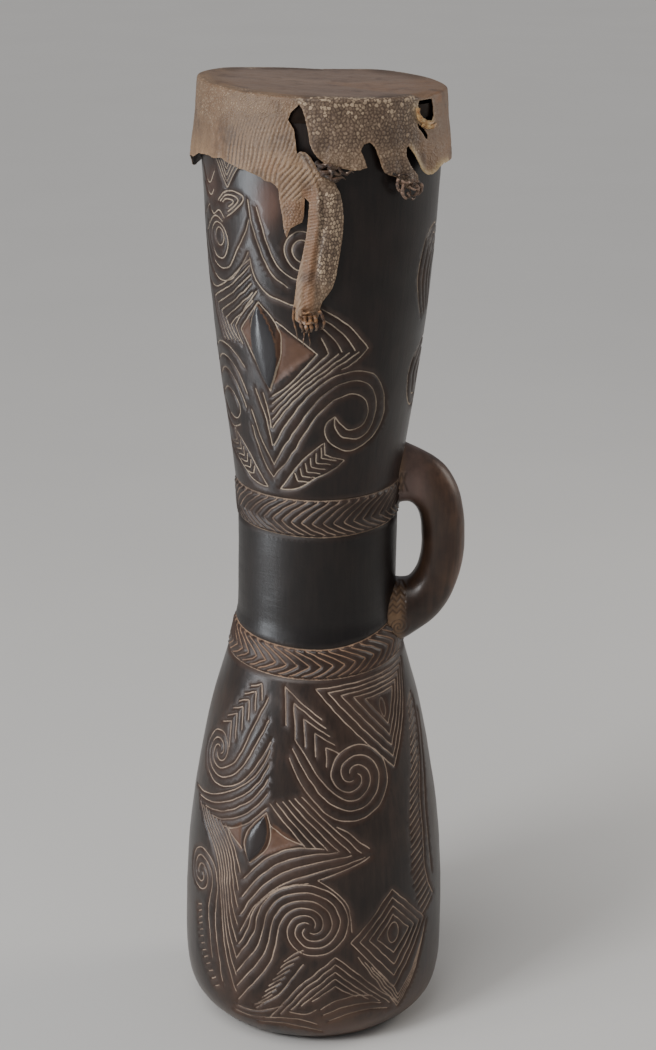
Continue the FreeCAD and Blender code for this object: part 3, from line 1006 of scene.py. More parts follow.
def beads(u, v, wide, tall, seed):
    """A loose packing of scales of uneven size: each point's distance from its scale's
    middle, where 1 is the scale's edge, and the scale's random number."""
    u = u + 0.5 * np.sin(v * 0.43 + 1.3 * np.sin(u * 0.19)) + 0.3 * np.sin(v * 1.1 + u * 0.35)
    v = v + 0.5 * np.sin(u * 0.37 + seed) + 0.25 * np.sin(u * 1.05 - v * 0.4)
    best, second, pick = np.full(len(u), 9.0), np.full(len(u), 9.0), np.zeros(len(u))
    row0 = np.floor(v / tall)
    for dj in (-1, 0, 1):
        j = row0 + dj
        odd = np.mod(j, 2) * 0.5
        i0 = np.floor(u / wide - odd)
        for di in (-1, 0, 1):
            i = i0 + di
            x = (i + 0.5 + odd + 0.55 * (whole_hash(i, j, seed) - 0.5)) * wide
            y = (j + 0.5 + 0.55 * (whole_hash(i, j, seed + 7) - 0.5)) * tall
            size = 0.8 + 0.4 * whole_hash(i, j, seed + 11)
            d = np.hypot((u - x) / wide, (v - y) / tall) / size
            second = np.where(d < best, best, np.minimum(second, d))
            pick = np.where(d < best, whole_hash(i, j, seed + 3), pick)
            best = np.minimum(best, d)
    return np.clip(1.0 - (second - best) * 1.8, 0, 1), pick


def ridges(u, v, direction, pitch, length):
    """Scales that lie in ridged rows, as a height from 0 to 1. direction is in degrees."""
    c, s = math.cos(math.radians(direction)), math.sin(math.radians(direction))
    wander = 0.9 * np.sin(u * 0.11 + v * 0.05) + 0.5 * np.sin(v * 0.21 - u * 0.07)
    row = (u * -s + v * c + wander) / pitch
    along = (u * c + v * s) / length + 0.5 * np.mod(np.floor(row), 2)
    ridge = np.sin(np.pi * np.mod(row, 1.0))
    notch = np.sin(np.pi * np.mod(along, 1.0)) ** 0.5
    return ridge ** 0.8 * (0.62 + 0.38 * notch)


def soft_noise(angle, z, across, up, seed):
    """Smooth noise from -1 to 1 over the skin's angles and heights."""
    return np.array([noise.noise(Vector((a * across, h * up, seed))) for a, h in zip(angle, z)])


def near(value, middle, width):
    return np.exp(-((value - middle) / width) ** 2)


def domed(distance):
    return np.sqrt(np.clip(1 - distance ** 2 * 0.8, 0, 1))


def skin_parts(a, z):
    """Shares from 0 to 1 of the skin's parts. The belly side is left of the slit and of a
    line down the long leg, and fades out over the rim and round the left side."""
    divide = np.interp(z, [560, 580, 600, 620, 640, 656, 672, 686, 700],
                       [-2.5, -1.6, -0.9, 0.2, 0.4, -0.5, 0.6, -8.5, -9.5])
    soft = 2.5 + 30 * bell((z - 715) / 10)
    belly = bell((divide - a + (soft - 2.5) / 2) / soft) * bell((a + 128) / 22)
    on_leg = bell((668 - z) / 10) * bell((a + 8.5) / 1.5) * bell((14 - a) / 2)
    foot = bell((a - 26) / 3) * bell((53 - a) / 3) * bell((688 - z) / 10)
    flap = bell((a - 44) / 8) * bell((128 - a) / 25)
    ankle = bell((600 - z) / 10) * bell((a + 14) / 2) * bell((9 - a) / 2)
    on_lobe = bell((656 - z) / 5) * bell((-6 - a) / 1.0)
    lobe_beads = on_lobe * bell((a + 17) / 3) * bell((z - 629) / 4) * (z > 620)
    return belly, on_leg, foot, flap, ankle, lobe_beads


def belly_scales(a, z, lobe_beads):
    """Dome and rise of the belly side: ridged rows that turn into pleats, almost bare
    elsewhere, with small beads on the lobe. Also the share that lies in rows."""
    u = a * PER_DEGREE
    small, _ = beads(u, z, 2.3, 2.1, 61)
    to_lower = bell((692 - z - (a + 22) * 0.5) / 10)
    to_pleats = bell((a + 19.5) / 4) * bell((682 - z) / 9)
    ragged = 5 * soft_noise(a, z, 0.11, 0.08, 51.0)
    in_rows = bell((a + 56 + ragged) / 26) * bell((711 - z + ragged) / 12)
    rows = ridges(u, z, 72, 2.45, 2.3) * (1 - to_lower) + ridges(u, z, 77, 3.5, 2.6) * to_lower
    rows = rows * (1 - to_pleats) + ridges(u, z, 52, 2.9, 2.4) * to_pleats
    row_rise = (0.40 + 0.30 * to_lower + 0.25 * to_pleats) * in_rows
    dome = rows * in_rows * (1 - lobe_beads) + np.clip(1.05 - small * 1.1, 0, 1) * lobe_beads
    rise = row_rise * (1 - lobe_beads) + 0.5 * lobe_beads
    below_root = bell((657 - z) / 3) * (a < -6)
    return dome, rise * (1 - below_root * (1 - lobe_beads) * 0.75), in_rows


def back_scales(a, z, on_leg, flap):
    """Dome and rise of the beaded back side, longer beads on the leg. Also each point's
    distance from its bead's middle and the bead's random number."""
    u = a * PER_DEGREE
    large, large_pick = beads(u, z, 2.7, 2.5, 23)
    long_scale, long_pick = beads(u, z, 2.0, 2.9, 37)
    dome = domed(large) * (1 - on_leg) + domed(long_scale) * on_leg
    return (dome, 0.40 + 0.16 * on_leg - 0.34 * flap, np.where(on_leg > 0.5, long_scale, large),
            np.where(on_leg > 0.5, long_pick, large_pick))


def cream_scales(a, z, back_dist, back_pick, on_leg, flap):
    """Which back scales are cream: most on the rim's front and the leg, least on the flap and
    the foot."""
    rim_front = bell((z - 706) / 5) * bell((50 - a) / 8)
    share = 0.23 + 0.27 * rim_front + 0.30 * on_leg - 0.26 * flap
    share = share - 0.22 * bell((a - 26) / 4) * bell((672 - z) / 4)
    share = share + 0.22 * soft_noise(a, z, 0.16, 0.25, 31.0)
    strength = 0.46 + 0.54 * rim_front + 0.36 * on_leg
    return bell((share - back_pick) / 0.16) * bell((0.80 - back_dist) / 0.32), strength


def scale_pattern(angle, z):
    """Relief in millimetres, and the marks that the leather reads: how domed and deep the
    scales are, and how speckled, pale, rusty and granular the skin is here."""
    a = wrap(angle)
    belly, on_leg, foot, flap, ankle, lobe_beads = skin_parts(a, z)
    belly_dome, belly_rise, in_rows = belly_scales(a, z, lobe_beads)
    back_dome, back_rise, back_dist, back_pick = back_scales(a, z, on_leg, flap)
    leg_belly = belly * on_leg
    dome = belly * belly_dome + (1 - belly) * back_dome
    rise = belly * belly_rise + (1 - belly) * back_rise
    dome = dome * (1 - leg_belly) + leg_belly * ridges(a * PER_DEGREE, z, 24, 2.1, 2.0)
    rise = rise * (1 - leg_belly) + leg_belly * 0.46
    rise = rise * (1 - 0.3 * ankle * bell((4 - a) / 5))
    speck, strength = cream_scales(a, z, back_dist, back_pick, on_leg, flap)
    speck = speck * (1 - belly) * strength * (1 - ankle * bell((3 - a) / 5))
    low_right = bell((692 - z) / 8) * bell((a + 6) / 6) * (1 - on_leg)
    pale = belly * (0.62 + 0.38 * bell((693 - z) / 16)) - 0.45 * belly * on_leg
    pale = pale + (1 - belly) * (0.42 * flap + 0.30 * low_right + 0.45 * ankle)
    # Painted shade: a dark patch at the ankle, where its dimple lies
    pale = pale * (1 - 0.95 * near(a, -5.6, 2.2) * near(z, 573, 4.2)) * (1 - 0.35 * lobe_beads)
    rust = 0.75 * leg_belly * bell((a + 14) / 2) + 0.55 * lobe_beads + 0.25 * flap
    for middle, width, height, tall in ((-22, 6, 676, 6), (76, 8, 680, 8)):
        rust = rust + 0.5 * near(a, middle, width) * near(z, height, tall)
    rust = rust + 0.8 * near(a, 66, 5) * bell((z - 711) / 4) * bell((726 - z) / 5)
    granular = (1 - in_rows) * belly * bell((z - 688) / 16) * bell((a + 92) / 16) + 0.55 * low_right
    return {"relief": dome * rise, "dome": dome, "rise": np.clip(rise * 2.2, 0, 1),
            "speck": speck * (1 - 0.6 * foot), "pale": np.clip(pale, 0, 1) * (1 - foot),
            "rust": np.clip(rust, 0, 1), "granular": np.clip(granular, 0, 1) * (1 - foot)}


# ------------------------------------------------------------------ the skin's shape

def skirt_radius(angle, z):
    """Outside of the skin: flared below the rim, then leaning in with the tongues."""
    down = np.clip((SKIRT_HIGH - z) / (SKIRT_HIGH - SKIRT_LOW), 0, 1)
    low = np.clip((SKIRT_HIGH - z) / (SKIRT_HIGH - SKIRT_LOW), 0, 1.4)
    a = wrap(angle)
    r = SKIN_RADIUS + (SKIRT_RADIUS - SKIN_RADIUS) * down ** 0.9
    r = r - TONGUE_LEAN * np.clip(SKIRT_LOW - z, 0, None)
    left_end = near(a, -104, 20) * low ** 2 * 2.4
    flap = near(a, 68, 12) * down ** 2 * 1.9
    slit = near(a, -8.5, 3.0) * bell((712 - z) / 14) * bell((z - 684) / 6) * 1.4
    return r + left_end + flap + slit


def folds(angle, z):
    """Soft buckles of the dry skin, stronger away from the rim."""
    down = np.clip((SKIRT_HIGH + 3 - z) / 45, 0, 1.15)
    broad = soft_noise(angle, z, 0.055, 0.03, 2.0)
    tight = soft_noise(angle, z, 0.23, 0.055, 5.0)
    fine = soft_noise(angle, z, 0.7, 0.45, 8.0)
    return 2.0 * broad * down + 0.9 * tight * down + 0.22 * fine


RIM_RISE = 2.85              # mean of rim_rise over the angles
SKIN_LEAN_FROM, SKIN_LEAN_OVER = 682, 34


def rim_rise(angle):
    """How far the rim stands above its plane: the front and the right side are high."""
    a = np.radians(angle)
    return (2.7 + 1.6 * np.cos(a) + 1.1 * np.sin(a) - 1.2 * np.cos(2 * a)
            + 1.5 * near(wrap(angle), 150, 22))


def tilt_skin(points):
    """The skirt's edge stays where it is, and the rim leans and rises."""
    share = bell((points[:, 2] - SKIN_LEAN_FROM) / SKIN_LEAN_OVER)
    angle = np.degrees(np.arctan2(points[:, 0], -points[:, 1]))
    out = points.copy()
    out[:, 2] += share * (rim_rise(angle) - HEAD_TILT * points[:, 0])
    return out


def skin_place(angle, z, lift=0.0):
    return tilt_skin(circle(skirt_radius(angle, z) + lift, np.radians(angle), z))


def thickness(edge):
    """The skin thins towards a torn edge."""
    return SKIN_THICK * (TORN_THIN + (1 - TORN_THIN) * bell(edge / 3))


LIP_WIDE = 2.6               # how far a curled lip reaches from its edge


def lips(angle, z):
    """How far the torn edges of the rim hole and the flap curl outwards, and how yellow they are."""
    rim_hole, flap = shore(RIM_HOLE + RIM_HOLE[:1], 0), shore(FLAP_EDGE[4:16], 0)
    curl = np.zeros(len(z))
    front = (angle > 36) & (angle < 76)
    if front.any():
        point = np.column_stack([angle, z])[front]
        low_side = rim_hole[(rim_hole[:, 1] < 712) & (rim_hole[:, 0] < 57)]
        curl[front] = np.exp(-distance_to(point, [low_side]) / LIP_WIDE)
        right_of_it = bell((point[:, 0] - 41) / 3)
        curl[front] += 0.8 * right_of_it * np.exp(-(distance_to(point, [flap]) / LIP_WIDE) ** 2)
    return np.clip(curl, 0, 1)


def joined(*marks):
    return {key: np.concatenate([m[key] for m in marks]) for key in marks[0]}


def face_marks(pattern, edge, lip, inner):
    """The attributes that the leather reads. edge is the distance from a torn edge."""
    marks = {key: value for key, value in pattern.items() if key != "relief"}
    return {**marks, "edge": np.exp(-edge / 0.9), "lip": lip,
            "inner": np.full(len(edge), float(inner)), "cap": np.zeros(len(edge))}


def skin_face(loops, step, torn, inner, extra=None):
    """One face of a piece of skin: its flat points, triangles, border, marks and places."""
    sheet, faces, edges = filled(loops, step)
    a, z = sheet[:, 0], sheet[:, 1]
    edge, lip, pattern = distance_to(sheet, torn), lips(a, z), scale_pattern(a, z)
    lift = folds(a, z) * (0.25 + 0.75 * bell((SKIRT_HIGH + 0.2 - z) / 6)) + 1.6 * lip
    if extra:
        lift = lift + extra(a, z)
    if inner:
        lift = lift - thickness(edge)
    else:
        lift = lift + pattern["relief"] * bell(edge / 1.2)
    return sheet, faces, edges, face_marks(pattern, edge, lip, inner), skin_place(a, z, lift)


def skin_object(name, verts, faces, walls, marks, material):
    """A closed thin sheet, with the rims of its walls kept sharp."""
    sharp = [(f[i], f[(i + 1) % 4]) for f in walls for i in (0, 2)]
    return mesh_object(name, verts, faces + walls, marks, material, sharp)


def tongue_piece(name, root, free, shape, material):
    """One hanging tongue of skin. root is the line where it leaves the skirt, free its
    torn edge, and shape how far it stands out from the skirt's run, away from the root."""
    free_line = shore([root[0]] + free + [root[-1]])
    root_line = shore(root, 0)
    loop = np.vstack([free_line[:-1], root_line[::-1][:-1]])
    torn = [free_line[2:-2]]

    def extra(a, z):
        from_root = distance_to(np.column_stack([a, z]), [root_line])
        return shape(a, z) * bell(from_root / 11)

    outer = skin_face([loop], TONGUE_STEP, torn, False, extra)
    inner = skin_face([loop], BACK_STEP, torn, True, extra)
    n = len(outer[0])
    faces = [tuple(int(v) for v in f) for f in outer[1]]
    faces += [tuple(int(v) + n for v in f[::-1]) for f in inner[1]]
    walls = [(b, a, n + a, n + b) for a, b in outer[2]]
    if sum((q[0] - p[0]) * (q[1] + p[1]) for p, q in zip(loop, np.roll(loop, -1, axis=0))) > 0:
        walls = [w[::-1] for w in walls]
    return skin_object(name, np.vstack([outer[4], inner[4]]), faces, walls,
                       joined(outer[3], inner[3]), material)


HEAD_RING = np.linspace(-180, 180, HEAD_COLUMNS + 1)
# Rings of the head as shares of its radius: close at the rim, where the scales still show
CROWN_SHARES = [*np.linspace(0.99, 0.89, 11), 0.87, 0.85, 0.83, *np.linspace(0.8, 0.04, 20)]
INNER_SHARES = [0.9, 0.7, 0.5, 0.3, 0.1]


def over_rim(turn):
    """The height that the scale pattern has reached, measured over the rounded rim."""
    return SKIRT_HIGH + RIM_ROUND * turn


def relief_at(height, drop):
    """The scales' relief on a ring of the crown. The inner face, which lies a drop lower, is plain."""
    if drop:
        return np.zeros(HEAD_COLUMNS)
    return scale_pattern(HEAD_RING[:-1], np.full(HEAD_COLUMNS, height))["relief"]


def crown(rim, drop, shares):
    """Rings from the top of the skirt over the rounded rim to the middle of the head: their
    points, how many rings there are, and the pattern's height at each point."""
    ring = HEAD_RING[:-1]
    a = np.radians(ring)
    base = np.linalg.norm(rim[:, :2], axis=1)
    wave = 0.7 * np.sin(3 * a + 0.6) + 0.5 * np.sin(7 * a + 2.0) * np.cos(2 * a)
    plane = HEAD_HEIGHT - drop
    rise = rim_rise(ring)
    dent = 2.0 * near(ring, 53.5, 5.0)
    rows, heights = [], []
    for turn in np.radians(RIM_TURNS):
        heights.append(over_rim(turn))
        relief = relief_at(heights[-1], drop)
        r = base - RIM_ROUND * (1 - math.cos(turn)) + relief * math.cos(turn)
        top = plane + rise - dent - HEAD_TILT * r * np.sin(a) + 0.5 * wave
        z = rim[:, 2] + (top - rim[:, 2]) * math.sin(turn) + relief * math.sin(turn)
        rows.append(circle(r, a, z))
    for share in shares:
        r = (base - RIM_ROUND) * share
        x, y = r * np.sin(a), -r * np.cos(a)
        ripple = np.array([0.5 * noise.noise(Vector((px / 19, py / 19, 4)))
                           + 0.16 * noise.noise(Vector((px / 5, py / 5, 6)))
                           for px, py in zip(x, y)])
        swell = 0.5 * math.exp(-((share - 0.93) / 0.05) ** 2) - 0.9 * (1 - share ** 2)
        z = plane + RIM_RISE + (rise - RIM_RISE) * share ** 2 - HEAD_TILT * x
        z = z + (ripple + swell) * bell((1 - share) * 14) - dent * bell((share - 0.90) / 0.10)
        heights.append(over_rim(math.pi / 2) + (1 - share) * SKIN_RADIUS)
        z = z + relief_at(heights[-1], drop) * bell((share - 0.89) / 0.08)
        rows.append(np.column_stack([x, y, z + 0.5 * wave * bell((share - 0.72) / 0.28)]))
    heights = np.append(np.repeat(heights, HEAD_COLUMNS), heights[-1] + 4)
    return np.vstack(rows + [np.array([[0, 0, plane + RIM_RISE - 0.9]])]), len(rows), heights


def crown_marks(cap, heights, inner):
    """The attributes of the crown, which is browner and smoother towards the middle."""
    angle = np.degrees(np.arctan2(cap[:, 0], -cap[:, 1]))
    from_edge, torn = np.full(len(cap), UNBOUND), np.zeros(len(cap))
    marks = face_marks(scale_pattern(angle, heights), from_edge, torn, inner)
    from_middle = np.linalg.norm(cap[:, :2], axis=1)
    patchy = 3 * np.sin(cap[:, 0] * 0.09) + 2 * np.sin(cap[:, 0] * 0.23 + 1)
    marks["cap"] = bell((SKIN_RADIUS - 1 + patchy - from_middle) / 26)
    for key in ("speck", "rise", "granular"):
        marks[key] = marks[key] * bell((from_middle - 80 + patchy) / 6)
    return marks


def head_piece(material):
    """The head and its skirt: one skin from the middle of the head to the torn edge."""
    parts = [shore(SKIRT_EDGE), shore(LOBE_ROOT, 0), shore(LEG_ROOT, 0), shore(SLIT),
             shore(FOOT_ROOT, 0), shore(FLAP_EDGE)]
    lower = np.vstack([parts[0]] + [p[1:] for p in parts[1:]])
    seam = np.linspace(SKIRT_EDGE[0][1], SKIRT_HIGH, 46)[1:-1]
    outline = np.vstack([lower, upright(180, seam),
                         np.column_stack([HEAD_RING, np.full(len(HEAD_RING), SKIRT_HIGH)])[::-1],
                         upright(-180, seam[::-1])])
    holes = [shore(h + h[:1])[:-1] for h in (RIM_HOLE, CRACK)]
    torn = [parts[0][:-2], parts[3][2:-2], parts[5][2:]] + holes
    n_low, n_seam = len(lower), len(seam)
    top_start = n_low + n_seam
    same = {n_low - 1: 0, top_start: top_start + HEAD_COLUMNS}
    same.update({n_low + i: len(outline) - 1 - i for i in range(n_seam)})
    top_ring = [top_start + HEAD_COLUMNS - k for k in range(HEAD_COLUMNS)]

    outer = skin_face([outline] + holes, SKIN_STEP, torn, False)
    inner = skin_face([outline] + holes, BACK_STEP, torn, True)
    verts, faces, marks, start = [], [], [], 0
    for (sheet, triangles, _, sheet_marks, points), drop, shares in (
            (outer, 0.0, CROWN_SHARES), (inner, SKIN_THICK, INNER_SHARES)):
        cap, rows, heights = crown(points[top_ring], drop, shares)

        def at(row, k):
            k %= HEAD_COLUMNS
            if row == 0:
                return start + same.get(top_ring[k], top_ring[k])
            return start + len(sheet) + (row - 1) * HEAD_COLUMNS + k

        new = [tuple(start + same.get(int(v), int(v)) for v in f) for f in triangles]
        for row in range(rows):
            new += [(at(row, k), at(row, k + 1), at(row + 1, k + 1), at(row + 1, k))
                    for k in range(HEAD_COLUMNS)]
        middle = start + len(sheet) + rows * HEAD_COLUMNS
        new += [(at(rows, k), at(rows, k + 1), middle) for k in range(HEAD_COLUMNS)]
        new = [f for f in new if len(set(f)) == len(f)]
        faces += [f[::-1] for f in new] if drop else new
        marks.append(joined(sheet_marks, crown_marks(cap, heights, drop > 0)))
        verts.append(np.vstack([points, cap]))
        start += len(points) + len(cap)
    n_outer = len(verts[0])
    walls = []
    for a, b in outer[2]:
        if (a < n_low and b < n_low) or a >= len(outline):
            a, b = same.get(a, a), same.get(b, b)
            walls.append((b, a, n_outer + a, n_outer + b))
    return skin_object("lizard_skin_head", np.vstack(verts), faces, walls, joined(*marks), material)


def leg_shape(angle, z):
    """A dried leg: rounded across, its left edge folded back, and a thick ankle."""
    middle = np.interp(z, [569, 580, 600, 640, 660, 670, 687], [-6.4, -5.6, -1.6, 2.3, 1.8, -1.0, -7])
    half = np.interp(z, [569, 580, 600, 640, 660, 670, 687], [6.6, 6.9, 9.2, 8.2, 7.4, 6.0, 3.5])
    across = np.clip((angle - middle) / half, -1.15, 1.15)
    ridge = (1.4 * near(across, -0.38, 0.2) - 0.8 * near(across, -0.08, 0.14)) * bell((z - 590) / 14)
    ankle = 1.8 * near(z, 578, 8.0) * (1 - across ** 2)
    ankle = ankle - 1.8 * near(angle, -5.6, 1.8) * near(z, 573, 4.5)
    lumps = 0.5 * soft_noise(angle, z, 0.5, 0.22, 13.0) * bell((606 - z) / 12)
    return 3.6 * (1 - across ** 2) - 0.8 + ridge + ankle + lumps


def lobe_shape(angle, z):
    across = (angle + 12.5) / 6
    return 0.5 + 1.6 * (1 - across ** 2) - 1.4 * bell((642 - z) / 12) * bell((angle + 13) / 4)


def foot_shape(angle, z):
    across = (angle - 40) / 9
    return 2.2 * (1 - across ** 2) + 1.2 * bell((664 - z) / 6)


TUBE_SIDES = 10


def tube_faces(rows, sides):
    """Faces of a tube of rings, closed at both ends."""
    faces = [(a, b, b + sides, a + sides) for i in range(rows - 1) for k in range(sides)
             for a, b in [(i * sides + k, i * sides + (k + 1) % sides)]]
    return faces + [tuple(range(sides))[::-1], tuple((rows - 1) * sides + k for k in range(sides))]


def tube(path, radii):
    """Points and faces of a tube round a path in millimetres."""
    path, radii = np.asarray(path, float), np.asarray(radii, float)
    along = np.gradient(path, axis=0)
    along /= np.linalg.norm(along, axis=1)[:, None]
    turn = 2 * np.pi * np.arange(TUBE_SIDES) / TUBE_SIDES
    verts = []
    out = np.array([path[0][0], path[0][1], 0.0])
    for p, t, r in zip(path, along, radii):
        side = np.cross(t, out)
        side /= np.linalg.norm(side)
        up = np.cross(side, t)
        verts += [p + r * (math.cos(k) * side + math.sin(k) * up) for k in turn]
    return verts, tube_faces(len(path), TUBE_SIDES)


def digits(name, toes, material):
    """Dried toes, claws and shreds of skin: knuckled tubes that thin to a curved end. Each
    is its thickness and the points of its middle line as (angle, height, lift)."""
    verts, faces, horn_part = [], [], []
    for thick, toe in toes:
        line = cubic([(a * PER_DEGREE, z, lift) for a, z, lift in toe], 0.45)
        t = np.linspace(0, 1, len(line))
        knuckles = 1 + 0.16 * np.cos(t * 2 * math.pi * 3.5)
        radii = np.where(t < 0.62, thick * (1.05 - 0.35 * t) * knuckles,
                         thick * 0.72 * np.clip((1 - t) / 0.38, 0, 1) ** 0.7 + 0.07)
        path = skin_place(line[:, 0] / PER_DEGREE, line[:, 1], line[:, 2])
        new_verts, new_faces = tube(path, radii)
        faces += [tuple(v + len(verts) for v in f) for f in new_faces]
        verts += new_verts
        horn_part += list(np.repeat(bell((t - 0.55) / 0.12), TUBE_SIDES))
    return mesh_object(name, np.array(verts), faces, {"horn": np.array(horn_part)}, material)


def lizard_leather():
    """Dry monitor skin: a pale ridged belly side and a dark back with cream scales."""
    n = Nodes("lizard_leather")
    dome, rise, granular = n.attribute("dome"), n.attribute("rise"), n.attribute("granular")
    speck, pale = n.attribute("speck"), n.attribute("pale")
    edge, inner, lip, cap = (n.attribute(key) for key in ("edge", "inner", "lip", "cap"))
    broad, mottled, fine = n.noise(38, 4), n.noise(150, 5), n.noise(620, 4)
    cells = n.add("ShaderNodeTexVoronoi", {"Vector": n.where, "Scale": 560.0, "Randomness": 0.95})
    grains = n.ramp(cells.outputs["Distance"], (0.15, 1.0), (0.6, 0.0), ease="EASE")
    tiny = n.add("ShaderNodeTexVoronoi", {"Vector": n.where, "Scale": 900.0}).outputs["Distance"]
    dark = n.mix(mottled, (0.048, 0.029, 0.019), (0.118, 0.074, 0.049))
    light = n.mix(mottled, (0.195, 0.117, 0.066), (0.35, 0.226, 0.134))
    tone = n.mix(n.times(pale, n.ramp(broad, (0.25, 0.72), (0.6, 1.0))), dark, light)
    streaks = n.noise(70, 5, (0.35, 1.4, 1.0))
    top = n.mix(streaks, (0.112, 0.074, 0.056), (0.255, 0.175, 0.130))
    tone = n.mix(n.times(cap, 0.92), tone, top)
    # Cream scales with uneven edges
    ragged = n.plus(speck, n.times(n.math("SUBTRACT", fine, 0.5), 0.9))
    cream = n.times(n.ramp(ragged, (0.12, 0.0), (0.80, 0.92)), n.rise(speck, 0.0, 0.15))
    tone = n.mix(cream, tone, n.mix(mottled, (0.27, 0.19, 0.120), (0.52, 0.40, 0.275)))
    grain_amount = n.times(granular, n.ramp(mottled, (0.36, 0.1), (0.62, 1.0)))
    tone = n.mix(n.times(grains, n.times(grain_amount, 0.5)), tone, (0.47, 0.355, 0.25))
    # Painted shade: the creases between the domed scales are darkened
    painted_crease_shade = n.times(n.ramp(dome, (0.10, 1.0), (0.55, 0.0), ease="EASE"), rise)
    tone = n.mix(n.times(painted_crease_shade, 0.82), tone, (0.032, 0.019, 0.013))
    # Painted highlight: the tops of the domed scales are lightened
    painted_crest_highlight = n.times(n.rise(dome, 0.72, 1.0), rise)
    tone = n.mix(n.times(painted_crest_highlight, n.ramp(fine, (0.3, 0.05), (0.7, 0.5))), tone, (0.50, 0.37, 0.25))
    orange = n.times(n.attribute("rust"), n.ramp(mottled, (0.3, 0.45), (0.6, 1.0)))
    tone = n.mix(orange, tone, (0.215, 0.105, 0.048))
    rusty = n.ramp(n.noise(24, 3), (0.55, 0.0), (0.72, 0.5))
    tone = n.mix(n.times(rusty, pale), tone, (0.20, 0.105, 0.055))
    tone = n.mix(n.ramp(n.noise(60, 6), (0.30, 0.55), (0.46, 0.0)), tone, (0.055, 0.033, 0.022))
    tone = n.mix(n.times(edge, 0.6), tone, (0.33, 0.21, 0.12))
    tone = n.mix(n.math("MULTIPLY", lip, 0.9, clamp=True), tone, (0.60, 0.45, 0.24))
    tone = n.mix(inner, tone, (0.075, 0.042, 0.026))
    height = n.plus(n.times(grains, n.plus(n.times(granular, 0.7), 0.08)),
                    n.plus(n.times(tiny, -0.35), n.times(fine, 0.4)))
    rough = n.ramp(mottled, (0.3, 0.46), (0.7, 0.62))
    rough = n.math("SUBTRACT", rough, n.times(painted_crest_highlight, 0.10))
    return n.finish(Base_Color=tone, Roughness=rough, Normal=n.bump(height, 0.75, 0.0006),
                    Specular_IOR_Level=0.42)


def dried_flesh(name, dark, bright, horn_dark, horn_light):
    """Dried skin of the toes and shreds, patchy from dark to bright, with horn at the tip."""
    n = Nodes(name)
    skin = n.mix(n.rise(n.noise(260, 5), 0.35, 0.64), dark, bright)
    pale_bits = n.ramp(n.noise(330, 4), (0.60, 0.0), (0.68, 0.85))
    skin = n.mix(pale_bits, skin, (0.46, 0.335, 0.26))
    claw = n.mix(n.noise(500, 3), horn_dark, horn_light)
    ripples = n.add("ShaderNodeTexWave", {"Vector": n.where, "Scale": 330.0, "Distortion": 3.0},
                   bands_direction="Z").outputs["Fac"]
    horn = n.attribute("horn")
    height = n.plus(n.times(ripples, n.math("SUBTRACT", 1.0, horn)), n.noise(700, 3))
    return n.finish(Base_Color=n.mix(horn, skin, claw), Roughness=0.56,
                    Normal=n.bump(height, 0.6, 0.0005))


LEATHER = lizard_leather()
TOE = dried_flesh("dried_toe", (0.050, 0.024, 0.014), (0.30, 0.150, 0.062),
                  (0.045, 0.026, 0.017), (0.23, 0.15, 0.095))
SHRED = dried_flesh("dark_shreds", (0.012, 0.007, 0.005), (0.085, 0.044, 0.024),
                    (0.020, 0.012, 0.008), (0.13, 0.08, 0.05))
FOOT_END = dried_flesh("torn_foot_end", (0.030, 0.018, 0.013), (0.34, 0.215, 0.150),
                       (0.030, 0.018, 0.013), (0.20, 0.12, 0.08))
FOLD = dried_flesh("yellow_fold", (0.33, 0.150, 0.052), (0.60, 0.405, 0.175),
                   (0.40, 0.21, 0.10), (0.60, 0.44, 0.26))
head = head_piece(LEATHER)
leg = tongue_piece("leg_skin_long", LEG_ROOT, LEG[::-1], leg_shape, LEATHER)
lobe = tongue_piece("leg_skin_short", LOBE_ROOT, LOBE, lobe_shape, LEATHER)
foot = tongue_piece("leg_skin_torn_foot", FOOT_ROOT, FOOT, foot_shape, LEATHER)
leg_toes = digits("leg_toes", [
    (1.5, [(-8.8, 573, 3.2), (-8.6, 568.5, 5.2), (-7.8, 564.4, 5.4), (-7.6, 561.6, 4.2),
           (-8.4, 560.2, 2.8)]),
    (1.6, [(-6.6, 572, 4), (-6.2, 567.4, 6), (-5.6, 563.4, 5.8), (-5.8, 560.8, 4), (-6.6, 560, 2.6)]),
    (1.55, [(-4.2, 572.4, 4), (-3.8, 567.6, 5.8), (-3.4, 563.8, 5.4), (-3.8, 561.2, 3.8),
            (-4.6, 560.6, 2.4)]),
    (1.45, [(-2, 573, 3.4), (-1.4, 568.6, 5.2), (-1, 564.8, 5), (-1.6, 562.2, 3.6), (-2.4, 561.8, 2.2)]),
    (1.1, [(0, 576, 2.2), (1.6, 571.6, 4), (2.2, 567, 4), (1.6, 563.6, 2.8), (0.6, 562.2, 1.6)]),
    (0.9, [(-11.6, 578, 2.2), (-12.2, 571, 3), (-11.4, 564.6, 2.4), (-10.8, 558.5, 1.2),
           (-10.6, 553.5, 0.5)]),
    (1.2, [(-8.4, 570.5, 5.2), (-5.8, 567.6, 7), (-3, 568.4, 7), (-1.2, 566.4, 5.4)]),
    (0.8, [(-8, 577.6, 5), (-6.4, 574.8, 6.4), (-3.8, 576, 6.2), (-2.2, 573.4, 5.2)]),
    (0.45, [(-7, 562, 3.6), (-7.2, 557, 2.2), (-7.8, 552, 0.8), (-7.6, 549, 0.4)]),
    (0.4, [(-4.6, 562, 3.6), (-4.8, 557, 2.2), (-4.4, 552, 0.7), (-4.8, 549, 0.4)])], TOE)
